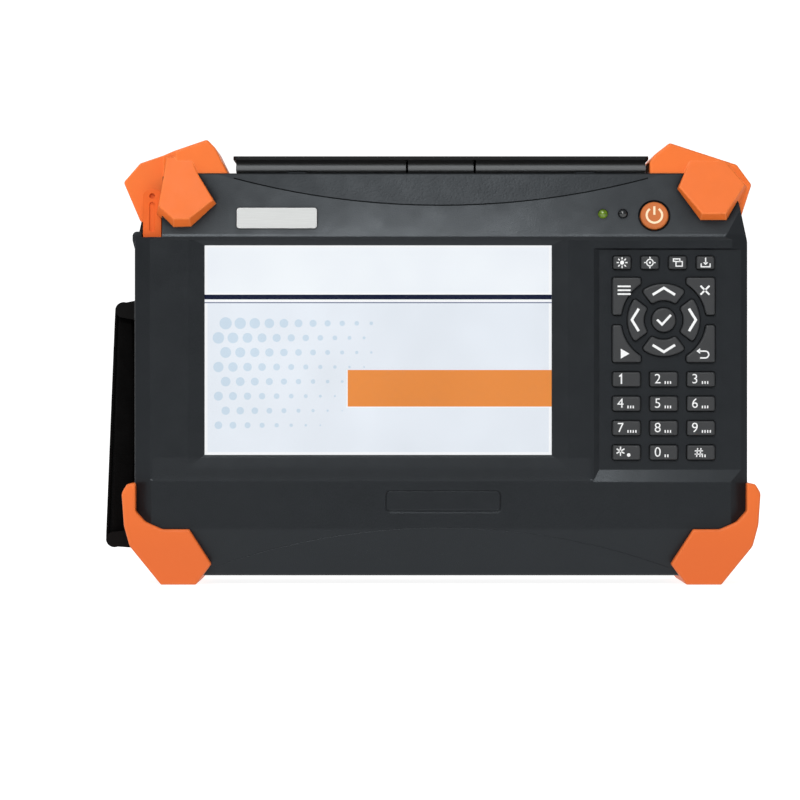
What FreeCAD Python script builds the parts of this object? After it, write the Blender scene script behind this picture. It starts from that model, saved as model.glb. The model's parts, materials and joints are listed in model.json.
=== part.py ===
import FreeCAD, Part
import math
import os

from FreeCAD import Vector

# Rugged handheld tester for Ethernet cabling, standing upright on its two lower bumpers.
# Millimetres. X runs to the right of someone facing the screen, -Y is the front, +Z is up.
# The pieces are drawn about the middle of the case, with the floor at z = 0, and
# export() then puts the origin at the middle of the whole object's footprint.

# Case
case_width = 269.0
case_height = 176.8
case_depth = 60.0
case_wall = 2.6
case_corner_radius = 5.0
foot_height = 3.7
lower_corner_cut = (18.5, 23.3)
upper_corner_cut = (13.5, 12.5)
shoulder_taper = (4.0, 30.5)
front_edge_bevel = (10.0, 3.8)
back_edge_bevel = (4.5, 4.0)
edge_radius = 1.2
back_edge_radius = 4.0
gasket_thickness = 1.0
gasket_width = 2.2
gasket_inset = 0.7

# Front face: a leaning band on top, a flat middle and a chin that falls back
brow_drop = 1.2
band_height = 28.3
band_setback = 6.0
front_shell_depth = 16.0
front_wall = 8.0
chin_top = 46.0
chin_step = 0.25
chin_step_radius = 0.4
chin_bend_z = 24.0
chin_bend_radius = 8.0
chin_setback = 3.4
chin_foot_radius = 2.0
brow_radius = 0.5

# Screen
screen_width = 152.4
screen_height = 92.0
screen_x = -27.6
screen_z = 102.7
bevel_side = 7.0
bevel_top = 3.4
bevel_bottom = 5.7
bevel_depth = 0.9
window_lip = 2.1
glass_margin = 3.0
glass_thickness = 1.8
lcd_border = 6.2
lcd_thickness = 5.5
pocket_clearance = 0.4
bracket_thickness = 1.0
bracket_rim = 7.0
bracket_overlap = 4.0
bracket_corner_radius = 3.0
boss_gap = 0.5

# Keypad
keypad_x = 97.6
keypad_recess = 1.5
keypad_left = 69.4
keypad_bottom = 50.2
keypad_top = 146.6
keypad_bevel_left = 2.9
keypad_bevel_bottom = 5.3
keypad_bevel_top = 0.9
keypad_wall = 2.0
key_height = 2.2
key_gap = 0.35
key_edge_bevel = 0.5
key_flange = 0.6
key_flange_thickness = 0.9
key_plunger_radius = 1.8
key_plunger_length = 0.7
rest_gap = 0.02
dome_radius = 2.6
dome_height = 1.3
membrane_thickness = 1.0
board_thickness = 1.6

number_key = (12.3, 6.4)
number_pitch = (16.3, 10.7)
number_row_z = 89.9
function_key = (7.9, 5.7)
function_pitch = 12.2
function_row_z = 141.0
small_key_radius = 1.0
pad_z = 115.9
ok_radius = 5.3
arrow_inner_radius = 8.6
arrow_outer_radius = 15.9
arrow_half_angle = 37.0
arrow_corner_radius = 1.3
corner_key_arc_radius = 18.6
corner_key_outer = (22.5, 18.6)
corner_key_inner = (9.9, 2.2)

# Controls and trim on the leaning band, measured up the slope from the brow
power_x = 93.5
power_up = 9.6
power_radius = 6.1
power_height = 0.9
power_recess_radius = 7.1
power_recess_depth = 0.8
power_gap = 0.3
led_x = (71.0, 79.8)
led_up = 10.5
led_radius = 2.0
led_gap = 0.15
led_flange = 0.6
led_rim_height = 1.5
lens_sink = 0.4
plate_x = -72.0
plate_up = 8.5
plate_size = (35.4, 9.5)
plate_thickness = 0.8
plate_pocket = 0.4
plate_corner_radius = 1.2
band_wall = 2.4
led_board_depth = 7.0
band_bay = (60.0, 104.0, 2.6, 17.5)
groove_width = 0.5
groove_depth = 0.4
chin_groove_size = (0.25, 0.1)
upper_arc = (91.0, 14.1, 12.3)
lower_arc = (100.0, 25.0, 17.5)
badge_x = 1.0
badge_groove = (50.6, 9.4, 36.5)
badge_groove_radius = 2.0
catch_size = (9.2, 1.6, 0.6)
catch_x = 63.5

# Corner bumpers. The outlines give how far each corner lies outside the side wall, and how far it
# lies above the top of the case, or above the floor for the lower ones.
bumper_reach = 3.0
bumper_rim_radius = 1.0
bumper_corner_radius = 1.6
upper_block_setback = 0.6
right_block = (
    (-42.7, -3.5), (-42.7, 5.0), (-40.6, 8.2), (-33.9, 13.4), (-4.4, 3.8), (2.1, -5.0), (-2.4, -19.0),
    (-12.5, -23.0), (-30.0, -19.0),
)
left_block = (
    (-41.2, -3.5), (-41.2, -0.7), (-35.2, 11.3), (-31.7, 14.9), (-1.9, 4.7), (5.4, -3.7), (-2.0, -21.0),
    (-12.5, -24.0), (-30.0, -20.0),
)
right_tongue = (
    (-30.0, -6.3), (-20.4, -18.2), (-10.1, -18.2), (-1.3, -5.2), (-9.0, 4.6), (-24.4, 7.0),
)
left_tongue = (
    (-34.6, -12.0), (-24.3, -20.4), (-17.5, -20.6), (-10.9, -14.7), (-14.0, 7.0), (-24.4, 7.0), (-27.7, -0.6),
)
tongue_fade = 5.4
tongue_lean = 0.41
tongue_spread = 1.15
tongue_depth = 7.8
lower_bumper_outline = (
    (-0.8, 44.5), (2.9, 44.1), (5.3, 40.1), (4.3, 26.0), (1.8, 16.8), (-11.9, 0.0), (-27.2, 0.0),
    (-33.9, 9.0), (-24.2, 24.2), (-12.6, 24.2), (-5.1, 27.5), (-0.8, 32.2),
)
lower_bumper_rounding = (0.6, 2.0, 4.0, 10.0, 6.0, 1.0, 1.0, 1.0, 1.0, 4.0, 4.0, 2.0)

# Stylus and its notch in the upper left corner
stylus_x = -126.9
stylus_radius = 3.4
stylus_gap = 0.2
stylus_shaft = 96.0
stylus_tip = 12.0
stylus_tip_radius = 0.8
stylus_head = (8.0, 7.0, 21.0)
stylus_head_radii = (2.0, 3.2)
stylus_dimple = (1.2, 1.5, 2.8)
stylus_groove = (2.4, 0.8, 13.0, 2.5)
groove_end_flat = 0.05
notch_side_gap = 0.6
notch_ramp = 6.0
lip_rise = 2.6
lip_bulge = 1.0
lip_radius = 1.0

# Hand strap on the left side
strap_width = 31.0
strap_thickness = 4.0
strap_bar_radius = 1.6
strap_loop_radius = 3.9
strap_top = (6.2, 120.5)
strap_bottom = (10.3, 19.2)
strap_front = -8.5
strap_rest_gap = 0.4
cushion_inset = 2.0
lug_thickness = 3.0
lug_gap = 0.3
lug_radius = 3.2
lug_flare = 1.5
lug_end_flat = 0.1
bar_cover = 1.0

# Connector bay on the top and the hinged dust cover above it
bay_half_length = 86.0
bay_front = -9.0
bay_back = 15.0
bay_depth = 12.5
bay_ledge = 2.0
panel_thickness = 2.0
panel_gap = 0.4
cover_half_length = 90.2
cover_overhang = 1.2
cover_height = 7.6
cover_gap = 0.5
cover_front = -19.0
cover_back = 17.0
cover_plate = 1.6
cover_wall = 1.8
bead_depth = 2.4
bead_bottom = 1.1
bead_height = 2.4
bead_radius = 0.8
lid_corner_radius = 1.5
snap_half_width = 14.9
snap_slit = 1.0
hinge_y = 20.8
hinge_rise = 3.7
knuckle_radius = 2.6
pin_radius = 1.25
pin_gap = 0.08
hinge_x = 62.0
ear_length = 10.0
knuckle_length = 18.0
knuckle_gap = 0.3

# Boards and connectors
main_board_y = -7.0
main_board = (-112.0, 118.0, 40.0, 163.0)
jack_size = (15.9, 13.3, 21.0)
jack_mouth = (11.9, 6.9, 13.5)
jack_latch = (6.2, 1.5)
jack_x = (-14.0, 10.0)
cage_size = (14.6, 9.8, 47.0)
cage_wall = 0.45
cage_x = (38.0, 60.0)
usb_size = (13.2, 5.8, 14.0)
usb_wall = 0.5
usb_tongue = (10.6, 1.8, 1.5)
usb_x = -46.0
dc_body = (9.4, 10.4, 13.0)
dc_bore_radius = 3.2
dc_bore_depth = 9.5
dc_pin_radius = 1.0
dc_pin_drop = 1.0
dc_x = -70.0
socket_gap = 0.3

# Back: battery bay, its door and the tilt stand
battery = (84.0, 19.0, 74.0)
battery_x = 63.0
battery_z = 65.0
battery_gap = 0.6
battery_end_flat = 0.5
door_thickness = 2.6
door_lip = 6.0
door_gap = 0.3
door_corner_radius = 3.0
door_rib = (24.0, 1.2, 0.6)
door_rib_radius = 0.5
door_rib_pitch = 3.0
door_rib_count = 5
door_rib_drop = 4.0
stand_width = 78.0
stand_length = 92.0
stand_thickness = 4.0
stand_x = -38.0
stand_hinge_z = 118.0
stand_gap = 0.4
stand_pin_radius = 1.5
stand_pin_bite = 3.0
stand_surround = 2.0
stand_relief = 1.0
stand_corner_radius = 6.0
stand_rib = (2.0, 1.6)
stand_cells = 3
stand_cell_radius = 2.0
stand_border = (6.0, 12.0, 8.0)
stand_finger_radius = 9.0

# Screws
case_screw_inset = 10.5
case_screw_rows = (38.0, 148.0)
lower_screw = (40.0, 7.3)
case_screw_seat = 3.5
case_screw_length = 20.0
case_screw_radius = 1.5
case_screw_head = (2.75, 2.2)
screw_gap = 0.25
boss_radius = 5.0
small_screw_radius = 1.1
small_screw_head = (2.1, 1.5)
small_screw_length = 5.0
small_boss_radius = 2.6
main_board_posts = ((-104.0, 46.0), (9.0, 46.0), (-104.0, 156.0), (112.0, 156.0))
main_board_post_radius = 3.2

# Places worked out from the sizes above
half_width = case_width / 2
bottom_z = foot_height
top_z = bottom_z + case_height
brow_y = -case_depth / 2
back_y = case_depth / 2
face_y = brow_y + brow_drop
brow_z = top_z - band_height
band_top_y = brow_y + band_setback
band_tilt = math.degrees(math.atan2(band_setback, band_height))
parting_y = brow_y + front_shell_depth
rear_front_y = parting_y + gasket_thickness
cavity_y = brow_y + front_wall
glass_y = face_y + bevel_depth + window_lip
lcd_y = glass_y + glass_thickness
lcd_back_y = lcd_y + lcd_thickness
lcd_width = screen_width + 2 * lcd_border
lcd_height = screen_height + 2 * lcd_border
key_floor_y = face_y + keypad_recess
key_back_y = key_floor_y + keypad_wall
flange_back_y = key_back_y + key_flange_thickness
plunger_end_y = flange_back_y + key_plunger_length
membrane_y = plunger_end_y + dome_height
keypad_board_y = membrane_y + membrane_thickness
stylus_y = (face_y + parting_y) / 2
notch_x = stylus_x + stylus_head[0] / 2 + notch_side_gap
panel_z = top_z - bay_depth
block_front_y = band_top_y + upper_block_setback
strap_reach = half_width + strap_bottom[0] + strap_loop_radius
bumper_reach_x = half_width + max(out for out, _ in lower_bumper_outline)
frame_shift = Vector((strap_reach - bumper_reach_x) / 2, 0, 0)
side_x = -half_width
case_screw_places = [(side * (half_width - case_screw_inset), z) for side in (-1, 1) for z in case_screw_rows]
case_screw_places += [(side * lower_screw[0], bottom_z + lower_screw[1]) for side in (-1, 1)]

# Cutting tools run past the surface by the overrun, or right through to the far distance
overrun = 1.0
far = 400.0


def corner_arc(before, corner, after, radius):
    """Start, middle and end of the arc that rounds one corner of an outline."""
    to_before = (before - corner).normalize()
    to_after = (after - corner).normalize()
    half = to_before.getAngle(to_after) / 2
    reach = radius / math.tan(half)
    inward = (to_before + to_after).normalize()
    middle = corner + inward * (radius / math.sin(half) - radius)
    return corner + to_before * reach, middle, corner + to_after * reach


def outline(points, radius=0.0):
    """Closed wire through the points; radius is one value, or one for each corner."""
    radii = [radius] * len(points) if isinstance(radius, (int, float)) else list(radius)
    edges = []
    ends = []
    for i, corner in enumerate(points):
        if radii[i] <= 0:
            ends.append((corner, corner))
            continue
        start, middle, end = corner_arc(points[i - 1], corner, points[(i + 1) % len(points)], radii[i])
        edges.append(Part.Arc(start, middle, end).toShape())
        ends.append((start, end))
    for i, (_, end) in enumerate(ends):
        start = ends[(i + 1) % len(ends)][0]
        if (start - end).Length > 1e-6:
            edges.append(Part.LineSegment(end, start).toShape())
    return Part.Wire(Part.__sortEdges__(edges))


def prism_y(points, y0, y1, radius=0.0):
    """Solid of an (x, z) outline between two depths."""
    wire = outline([Vector(x, y0, z) for x, z in points], radius)
    return Part.Face(wire).extrude(Vector(0, y1 - y0, 0))


def prism_x(points, x0, x1, radius=0.0):
    """Solid of a (y, z) outline between two widths."""
    wire = outline([Vector(x0, y, z) for y, z in points], radius)
    return Part.Face(wire).extrude(Vector(x1 - x0, 0, 0))


def prism_z(points, z0, z1, radius=0.0):
    """Solid of an (x, y) outline between two heights."""
    wire = outline([Vector(x, y, z0) for x, y in points], radius)
    return Part.Face(wire).extrude(Vector(0, 0, z1 - z0))


def block(x0, x1, y0, y1, z0, z1):
    return Part.makeBox(x1 - x0, y1 - y0, z1 - z0, Vector(x0, y0, z0))


def rectangle(cx, cz, width, height):
    """Corners of an (x, z) rectangle about its centre."""
    w, h = width / 2, height / 2
    return [(cx - w, cz - h), (cx + w, cz - h), (cx + w, cz + h), (cx - w, cz + h)]


def rod(radius, start, end):
    """Round bar from one point to another."""
    return Part.makeCylinder(radius, (end - start).Length, start, end - start)


def rod_y(radius, x, z, y0, y1):
    return rod(radius, Vector(x, y0, z), Vector(x, y1, z))


def rod_x(radius, y, z, x0, x1):
    return rod(radius, Vector(x0, y, z), Vector(x1, y, z))


def rod_z(radius, x, y, z0, z1):
    return rod(radius, Vector(x, y, z0), Vector(x, y, z1))


def joined(shapes):
    return shapes[0].fuse(shapes[1:]).removeSplitter()


def mirrored(points):
    """The same (x, z) outline on the other side of the case."""
    return [(-x, z) for x, z in points]


def on_band(shape):
    """Moves a shape drawn with the band as the plane y = 0, z up its slope, onto the band."""
    placed = shape.copy()
    placed.rotate(Vector(0, 0, 0), Vector(1, 0, 0), -band_tilt)
    placed.translate(Vector(0, brow_y, brow_z))
    return placed


def edges_where(shape, test):
    return [edge for edge in shape.Edges if test(edge)]


def lies_at_y(shape, y):
    box = shape.BoundBox
    return abs(box.YMin - y) < 1e-4 and abs(box.YMax - y) < 1e-4


def runs_along_y(edge):
    box = edge.BoundBox
    return box.XLength < 1e-4 and box.ZLength < 1e-4


def front_wire(solid, y):
    """Outer wire of the flat face of a solid at one depth."""
    flat = [face for face in solid.Faces if lies_at_y(face, y)]
    return flat[0].OuterWire


def grown(wire, distance, y0, y1):
    """Prism of a wire in the (x, z) plane, offset outwards, between two depths."""
    ring = wire.makeOffset2D(distance) if distance else wire.copy()
    ring.translate(Vector(0, y0 - wire.BoundBox.YMin, 0))
    return Part.Face(ring).extrude(Vector(0, y1 - y0, 0))


# Case

def case_outline_points(inset=0.0):
    """Front view of the case, drawn in by the given distance."""
    w, t, b = half_width - inset, top_z - inset, bottom_z + inset
    right = [
        (w - lower_corner_cut[0], b),
        (w, b + lower_corner_cut[1]),
        (w, t - shoulder_taper[1]),
        (w - shoulder_taper[0], t - upper_corner_cut[1]),
        (w - upper_corner_cut[0], t),
    ]
    return right + mirrored(reversed(right))


def case_envelope():
    """Closed outer form of the case, with neither recesses nor notch."""
    front_view = prism_y(case_outline_points(), -far, far, case_corner_radius)
    chin_y = face_y - chin_step
    side_view = prism_x([
        (back_y, bottom_z), (back_y, top_z), (band_top_y, top_z), (brow_y, brow_z),
        (face_y, brow_z - brow_drop), (face_y, chin_top), (chin_y, chin_top - 2 * chin_step),
        (chin_y, chin_bend_z), (chin_y + chin_setback, bottom_z),
    ], -far, far, [
        back_edge_radius, back_edge_radius, edge_radius, brow_radius, brow_radius,
        chin_step_radius, chin_step_radius, chin_bend_radius, chin_foot_radius,
    ])
    bevel, drop = front_edge_bevel
    back_bevel, back_drop = back_edge_bevel
    plan = [
        (-half_width, brow_y + drop), (-half_width + bevel, brow_y), (half_width - bevel, brow_y),
        (half_width, brow_y + drop), (half_width, back_y - back_drop), (half_width - back_bevel, back_y),
        (-half_width + back_bevel, back_y), (-half_width, back_y - back_drop),
    ]
    plan_view = prism_z(plan, -far, far, edge_radius)
    return front_view.common(side_view).common(plan_view)


def front_half(envelope):
    return envelope.common(block(-far, far, -far, parting_y, -far, far))


def rear_half(envelope):
    return envelope.common(block(-far, far, rear_front_y, far, -far, far))


def stylus_notch():
    """The cut-away corner that the stylus head stands in."""
    return block(-far, notch_x, -far, parting_y, brow_z, far)


def frustum(front_points, front_y, back_points, back_y_value):
    """Straight-sided recess between two outlines at two depths."""
    wires = [
        Part.makePolygon([Vector(x, y, z) for x, z in points + points[:1]])
        for points, y in ((front_points, front_y), (back_points, back_y_value))
    ]
    return Part.makeLoft(wires, True, True)


def window_recess():
    """Sloping frame round the screen and the opening itself."""
    left, right = screen_x - screen_width / 2, screen_x + screen_width / 2
    low, high = screen_z - screen_height / 2, screen_z + screen_height / 2
    inner = [(left, low), (right, low), (right, high), (left, high)]
    outer = [
        (left - bevel_side, low - bevel_bottom), (right + bevel_side, low - bevel_bottom),
        (right + bevel_side, high + bevel_top), (left - bevel_side, high + bevel_top),
    ]
    sloped = frustum(outer, face_y, inner, face_y + bevel_depth)
    cap = prism_y(outer, -far, face_y)
    opening = prism_y(inner, face_y, cavity_y + case_wall)
    return [sloped, cap.common(block(-far, far, -far, far, -far, brow_z - brow_drop)), opening]


def screen_pockets():
    """Seats for the glass and the display module behind the window."""
    gap = 2 * pocket_clearance
    glass = rectangle(screen_x, screen_z, glass_width() + gap, glass_height() + gap)
    module = rectangle(screen_x, screen_z, lcd_width + gap, lcd_height + gap)
    return [prism_y(glass, glass_y, lcd_y), prism_y(module, lcd_y, parting_y)]


def keypad_recess_cut():
    """Shallow recess under the keys, open to the bevel on the right."""
    left, right = keypad_left, half_width + case_wall
    low, high = keypad_bottom, keypad_top
    inner = [(left, low), (right, low), (right, high), (left, high)]
    left, low, high = left - keypad_bevel_left, low - keypad_bevel_bottom, high + keypad_bevel_top
    outer = [(left, low), (right, low), (right, high), (left, high)]
    return frustum(outer, face_y - chin_step, inner, key_floor_y)


def keypad_bay():
    """Pocket behind the key holes for the flanges, membrane and board."""
    x0, x1, z0, z1 = keypad_board_area()
    gap = pocket_clearance
    return block(x0 - gap, x1 + gap, key_back_y, parting_y, z0 - gap, z1 + gap)


def keypad_board_area():
    """Left, right, low and high edge of the keypad's circuit board."""
    margin = small_boss_radius * 2 + key_flange + pocket_clearance
    reach = corner_key_outer[0] + margin
    low = number_row_z - 3 * number_pitch[1] - number_key[1] / 2 - margin + small_boss_radius
    high = function_row_z + function_key[1] / 2 + margin - small_boss_radius
    return keypad_x - reach, keypad_x + reach, low, high


def keypad_bosses():
    """Places of the four posts that carry the keypad's board."""
    x0, x1, z0, z1 = keypad_board_area()
    r = small_boss_radius
    return [(x0 + r, z0 + r), (x1 - r, z0 + r), (x0 + r, z1 - r), (x1 - r, z1 - r)]


def bracket_bosses():
    """Places of the four posts that carry the display bracket."""
    reach_x = lcd_width / 2 - 2 * bracket_rim
    reach_z = lcd_height / 2 + pocket_clearance + small_boss_radius + boss_gap
    return [(screen_x + i * reach_x, screen_z + j * reach_z) for i in (-1, 1) for j in (-1, 1)]


def band_groove():
    """Fine curved line across the leaning band."""
    half_span, low, sag = upper_arc
    radius = (half_span ** 2 + sag ** 2) / (2 * sag)
    centre = low + radius
    ring = rod_y(radius, 0, centre, -overrun, groove_depth)
    ring = ring.cut(rod_y(radius - groove_width, 0, centre, -far, far))
    span = block(-half_span, half_span, -far, far, 0, centre)
    return on_band(ring.common(span))


def chin_groove(envelope):
    """Fine curved line across the chin."""
    half_span, high, drop = lower_arc
    width, depth = chin_groove_size
    radius = (half_span ** 2 + drop ** 2) / (2 * drop)
    centre = high - radius
    ring = rod_y(radius, 0, centre, -far, far).cut(rod_y(radius - width, 0, centre, -far, far))
    skin = envelope.common(ring).common(block(-half_span, half_span, -far, 0, centre, high + overrun))
    inside = envelope.copy()
    inside.translate(Vector(0, depth, 0))
    return skin.cut(inside)


def badge_outline():
    """Fine rounded outline on the chin."""
    width, height, z = badge_groove
    floor_y = face_y - chin_step + groove_depth
    outer = prism_y(rectangle(badge_x, z, width, height), -far, floor_y, badge_groove_radius)
    w, h = width - 2 * groove_width, height - 2 * groove_width
    return outer.cut(prism_y(rectangle(badge_x, z, w, h), -far, far, badge_groove_radius - groove_width))


def power_hole():
    dish = rod_y(power_recess_radius, power_x, power_up, -overrun, power_recess_depth)
    hole = rod_y(power_radius + power_gap, power_x, power_up, -overrun, band_wall + overrun)
    return on_band(dish.fuse(hole))


def led_holes():
    return [on_band(rod_y(led_radius + led_gap, x, led_up, -overrun, band_wall + overrun)) for x in led_x]


def plate_recess():
    width, height = plate_size
    points = rectangle(plate_x, plate_up, width, height)
    return on_band(prism_y(points, -overrun, plate_pocket, plate_corner_radius))


def band_bay_cut():
    """Pocket behind the band for the lamps, the power button and their board."""
    x0, x1, z0, z1 = band_bay
    return on_band(block(x0, x1, band_wall, led_board_depth + board_thickness + 2 * overrun, z0, z1))


def led_board_rails():
    """Two ledges that the lamps' board lies on."""
    x0, x1, z0, z1 = band_bay
    rail = small_boss_radius
    return [
        on_band(block(x0, x0 + rail, band_wall, led_board_depth, z0, z1)),
        on_band(block(x1 - rail, x1, band_wall, led_board_depth, z0, z1)),
    ]


def front_cover(envelope, keys):
    """Moulded bezel with the screen window, the key holes and the posts behind them."""
    cover = front_half(envelope)
    inner_left = stylus_x + stylus_radius + 2 * case_wall
    cavity = prism_y(case_outline_points(case_wall + gasket_width), cavity_y, parting_y, case_corner_radius)
    cavity = cavity.common(block(inner_left, far, -far, far, -far, far))
    for x, z in case_screw_places:
        cavity = cavity.cut(rod_y(boss_radius, x, z, -far, far))
    for x, z in bracket_bosses():
        cavity = cavity.cut(rod_y(small_boss_radius, x, z, -far, lcd_back_y))
    bay = keypad_bay()
    for x, z in keypad_bosses():
        bay = bay.cut(rod_y(small_boss_radius, x, z, -far, keypad_board_y))
    lamps = band_bay_cut().cut(led_board_rails())
    tools = [cavity, bay, lamps, stylus_notch(), stylus_bore(), keypad_recess_cut(), plate_recess()]
    tools += window_recess() + screen_pockets() + [power_hole()] + led_holes()
    tools += [band_groove(), chin_groove(envelope), badge_outline()]
    tools += [key["hole"] for key in keys]
    for x, z in case_screw_places:
        tools.append(rod_y(case_screw_radius, x, z, parting_y - case_screw_thread(), parting_y))
    for x, z in bracket_bosses():
        tools.append(rod_y(small_screw_radius, x, z, lcd_back_y - small_thread(), lcd_back_y))
    for x, z in keypad_bosses():
        tools.append(rod_y(small_screw_radius, x, z, keypad_board_y - small_thread(), keypad_board_y))
    cover = cover.cut(tools)
    return joined([cover, ledge_lip()] + cover_catches())


def ledge_lip():
    """Raised rim on the outer end of the stylus ledge."""
    inner, outer = stylus_x - stylus_head[0] / 2 - notch_side_gap, side_x - lip_bulge
    points = [
        (inner, brow_z - lip_rise), (inner, brow_z + lip_rise), (outer, brow_z + lip_rise),
        (outer, brow_z - lip_rise / 2), (side_x, brow_z - 2 * lip_rise),
    ]
    rounding = [0, lip_radius, 2 * lip_radius, lip_radius, 0]
    return prism_y(points, face_y + front_edge_bevel[1], parting_y, rounding)


def cover_catches():
    """Two low bumps on the top edge that the dust cover snaps over."""
    length, depth, rise = catch_size
    catches = []
    for side in (-1, 1):
        x = side * catch_x
        points = [(x - length / 2, top_z - rise), (x + length / 2, top_z - rise)]
        points += [(x + length / 2 - rise, top_z + rise), (x - length / 2 + rise, top_z + rise)]
        catches.append(prism_y(points, band_top_y + edge_radius, band_top_y + edge_radius + depth))
    return catches


def case_screw_thread():
    """How far a case screw reaches past the parting plane into the front cover."""
    return parting_y - (case_screw_seat - case_screw_length)


def small_thread():
    """How far a small screw reaches into its post."""
    return small_screw_length - board_thickness


def gasket():
    """Soft ring in the seam between the two halves of the case."""
    outer = prism_y(case_outline_points(gasket_inset), parting_y, rear_front_y, case_corner_radius)
    inset = gasket_inset + gasket_width
    inner = prism_y(case_outline_points(inset), -far, far, case_corner_radius)
    return outer.cut([inner, stylus_notch_seam()])


def stylus_notch_seam():
    """The notch carried through the seam, so that the gasket stops at its walls."""
    return block(-far, notch_x, parting_y - overrun, rear_front_y + overrun, brow_z, far)


def rear_case(envelope):
    """Moulded back shell with the connector bay, battery bay, stand recess and screw columns."""
    shell = rear_half(envelope)
    cavity = prism_y(case_outline_points(case_wall), rear_front_y, back_y - case_wall, case_corner_radius)
    keep = [rod_y(boss_radius, x, z, -far, far) for x, z in case_screw_places]
    board_back = main_board_y + board_thickness
    keep += [rod_y(main_board_post_radius, x, z, board_back, far) for x, z in main_board_posts]
    keep += [bay_block(), battery_block(), stand_block(), notch_wall()]
    cavity = cavity.cut(keep)
    tools = [cavity, bay_pocket(), bay_floor_opening(), battery_pocket(), door_pocket(), stand_recess()]
    tools += [stand_pin_rod(stand_pin_radius)]
    for x, z in case_screw_places:
        tools.append(rod_y(case_screw_radius + screw_gap, x, z, rear_front_y, case_screw_seat))
        tools.append(rod_y(case_screw_head[0] + screw_gap, x, z, case_screw_seat, back_y))
    for x, z in main_board_posts:
        tools.append(rod_y(small_screw_radius, x, z, board_back, board_back + small_thread()))
    for x, z in door_screws():
        tools.append(rod_y(small_screw_radius, x, z, door_seat_y() - small_screw_length, door_seat_y()))
    shell = shell.cut(tools)
    pin_holes = [cover_pin(side, pin_radius) for side in (-1, 1)]
    ears = joined([shell] + [case_ear(side) for side in (-1, 1)] + strap_lugs())
    bar_holes = [strap_bar(place, strap_bar_radius) for place in (strap_top, strap_bottom)]
    return ears.cut(pin_holes + bar_holes)


def notch_wall():
    """Wall that closes the back shell behind the stylus notch."""
    return block(-far, notch_x + case_wall, rear_front_y, rear_front_y + case_wall, brow_z - case_wall, far)


# Connector bay

def bay_block():
    wall = case_wall
    x = bay_half_length + wall
    return block(-x, x, bay_front - wall, bay_back + wall, panel_z - panel_thickness - wall, far)


def bay_pocket():
    x = bay_half_length
    return block(-x, x, bay_front, bay_back, panel_z - panel_thickness, far)


def bay_floor_opening():
    x = bay_half_length - bay_ledge
    floor = panel_z - panel_thickness
    return block(-x, x, bay_front + bay_ledge, bay_back - bay_ledge, floor - 2 * case_wall, floor)


def connector_panel():
    """Plate on the floor of the bay with one opening for each socket."""
    x, gap = bay_half_length - panel_gap, panel_gap
    plate = block(-x, x, bay_front + gap, bay_back - gap, panel_z - panel_thickness, panel_z)
    cuts = [socket_block(x, jack_size, socket_gap) for x in jack_x]
    cuts += [socket_block(x, cage_size, socket_gap) for x in cage_x]
    cuts.append(socket_block(usb_x, usb_size, socket_gap))
    cuts.append(socket_block(dc_x, dc_body, socket_gap))
    return plate.cut(cuts)


def socket_block(x, size, gap=0.0):
    """Outer block of a socket that stands on the back of the main board and opens upwards."""
    width, depth, height = size
    y0 = main_board_y + board_thickness
    half = width / 2 + gap
    return block(x - half, x + half, y0 - gap, y0 + depth + gap, panel_z - height - gap, panel_z)


def rj45_jacks():
    """Two eight-way jacks with their latch slots."""
    mouth_width, mouth_depth, reach = jack_mouth
    latch_width, latch_depth = jack_latch
    y0 = main_board_y + board_thickness + (jack_size[1] - mouth_depth - 2 * latch_depth) / 2
    y1 = y0 + mouth_depth
    low = panel_z - reach
    jacks = []
    for x in jack_x:
        mouth = block(x - mouth_width / 2, x + mouth_width / 2, y0, y1, low, panel_z)
        latch = block(x - latch_width / 2, x + latch_width / 2, y1, y1 + latch_depth, low, panel_z)
        jacks.append(socket_block(x, jack_size).cut([mouth, latch]))
    return Part.makeCompound(jacks)


def shell_socket(x, size, wall):
    """Sheet metal socket: a box that is open at the top."""
    width, depth, height = size
    y0 = main_board_y + board_thickness
    half = width / 2 - wall
    inside = block(x - half, x + half, y0 + wall, y0 + depth - wall, panel_z - height + wall, panel_z)
    return socket_block(x, size).cut(inside)


def sfp_cages():
    return Part.makeCompound([shell_socket(x, cage_size, cage_wall) for x in cage_x])


def usb_socket():
    """Type A socket with its contact tongue."""
    width, depth, drop = usb_tongue
    y0 = main_board_y + board_thickness + usb_wall
    low = panel_z - usb_size[2]
    contact = block(usb_x - width / 2, usb_x + width / 2, y0, y0 + depth, low, panel_z - drop)
    return joined([shell_socket(usb_x, usb_size, usb_wall), contact])


def dc_jack():
    """Charging socket with its centre pin."""
    y = main_board_y + board_thickness + dc_body[1] / 2
    bore = rod_z(dc_bore_radius, dc_x, y, panel_z - dc_bore_depth, panel_z)
    pin = rod_z(dc_pin_radius, dc_x, y, panel_z - dc_bore_depth, panel_z - dc_pin_drop)
    return joined([socket_block(dc_x, dc_body).cut(bore), pin])


def main_circuit_board():
    x0, x1, z0, z1 = main_board
    board = block(x0, x1, main_board_y, main_board_y + board_thickness, z0, z1)
    holes = [rod_y(small_screw_radius + screw_gap, x, z, -far, far) for x, z in main_board_posts]
    return board.cut(holes)


# Dust cover

def hinge_z():
    return top_z + hinge_rise


def cover_pin(side, radius):
    x0 = side * (hinge_x + knuckle_length / 2 + knuckle_gap)
    x1 = side * (hinge_x - knuckle_length / 2 - knuckle_gap)
    reach = side * ear_length
    return rod_x(radius, hinge_y, hinge_z(), x0 + reach, x1 - reach)


def case_ear(side):
    """Pair of ears on the back shell that hold one hinge pin."""
    ears = []
    front, back = hinge_y - knuckle_radius, hinge_y + knuckle_radius
    for end in (-1, 1):
        start = side * hinge_x + end * (knuckle_length / 2 + knuckle_gap)
        stop = start + end * ear_length
        ears.append(rod_x(knuckle_radius, hinge_y, hinge_z(), start, stop))
        x0, x1 = min(start, stop), max(start, stop)
        ears.append(block(x0, x1, front, back, top_z - case_wall, hinge_z()))
    return joined(ears)


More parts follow.
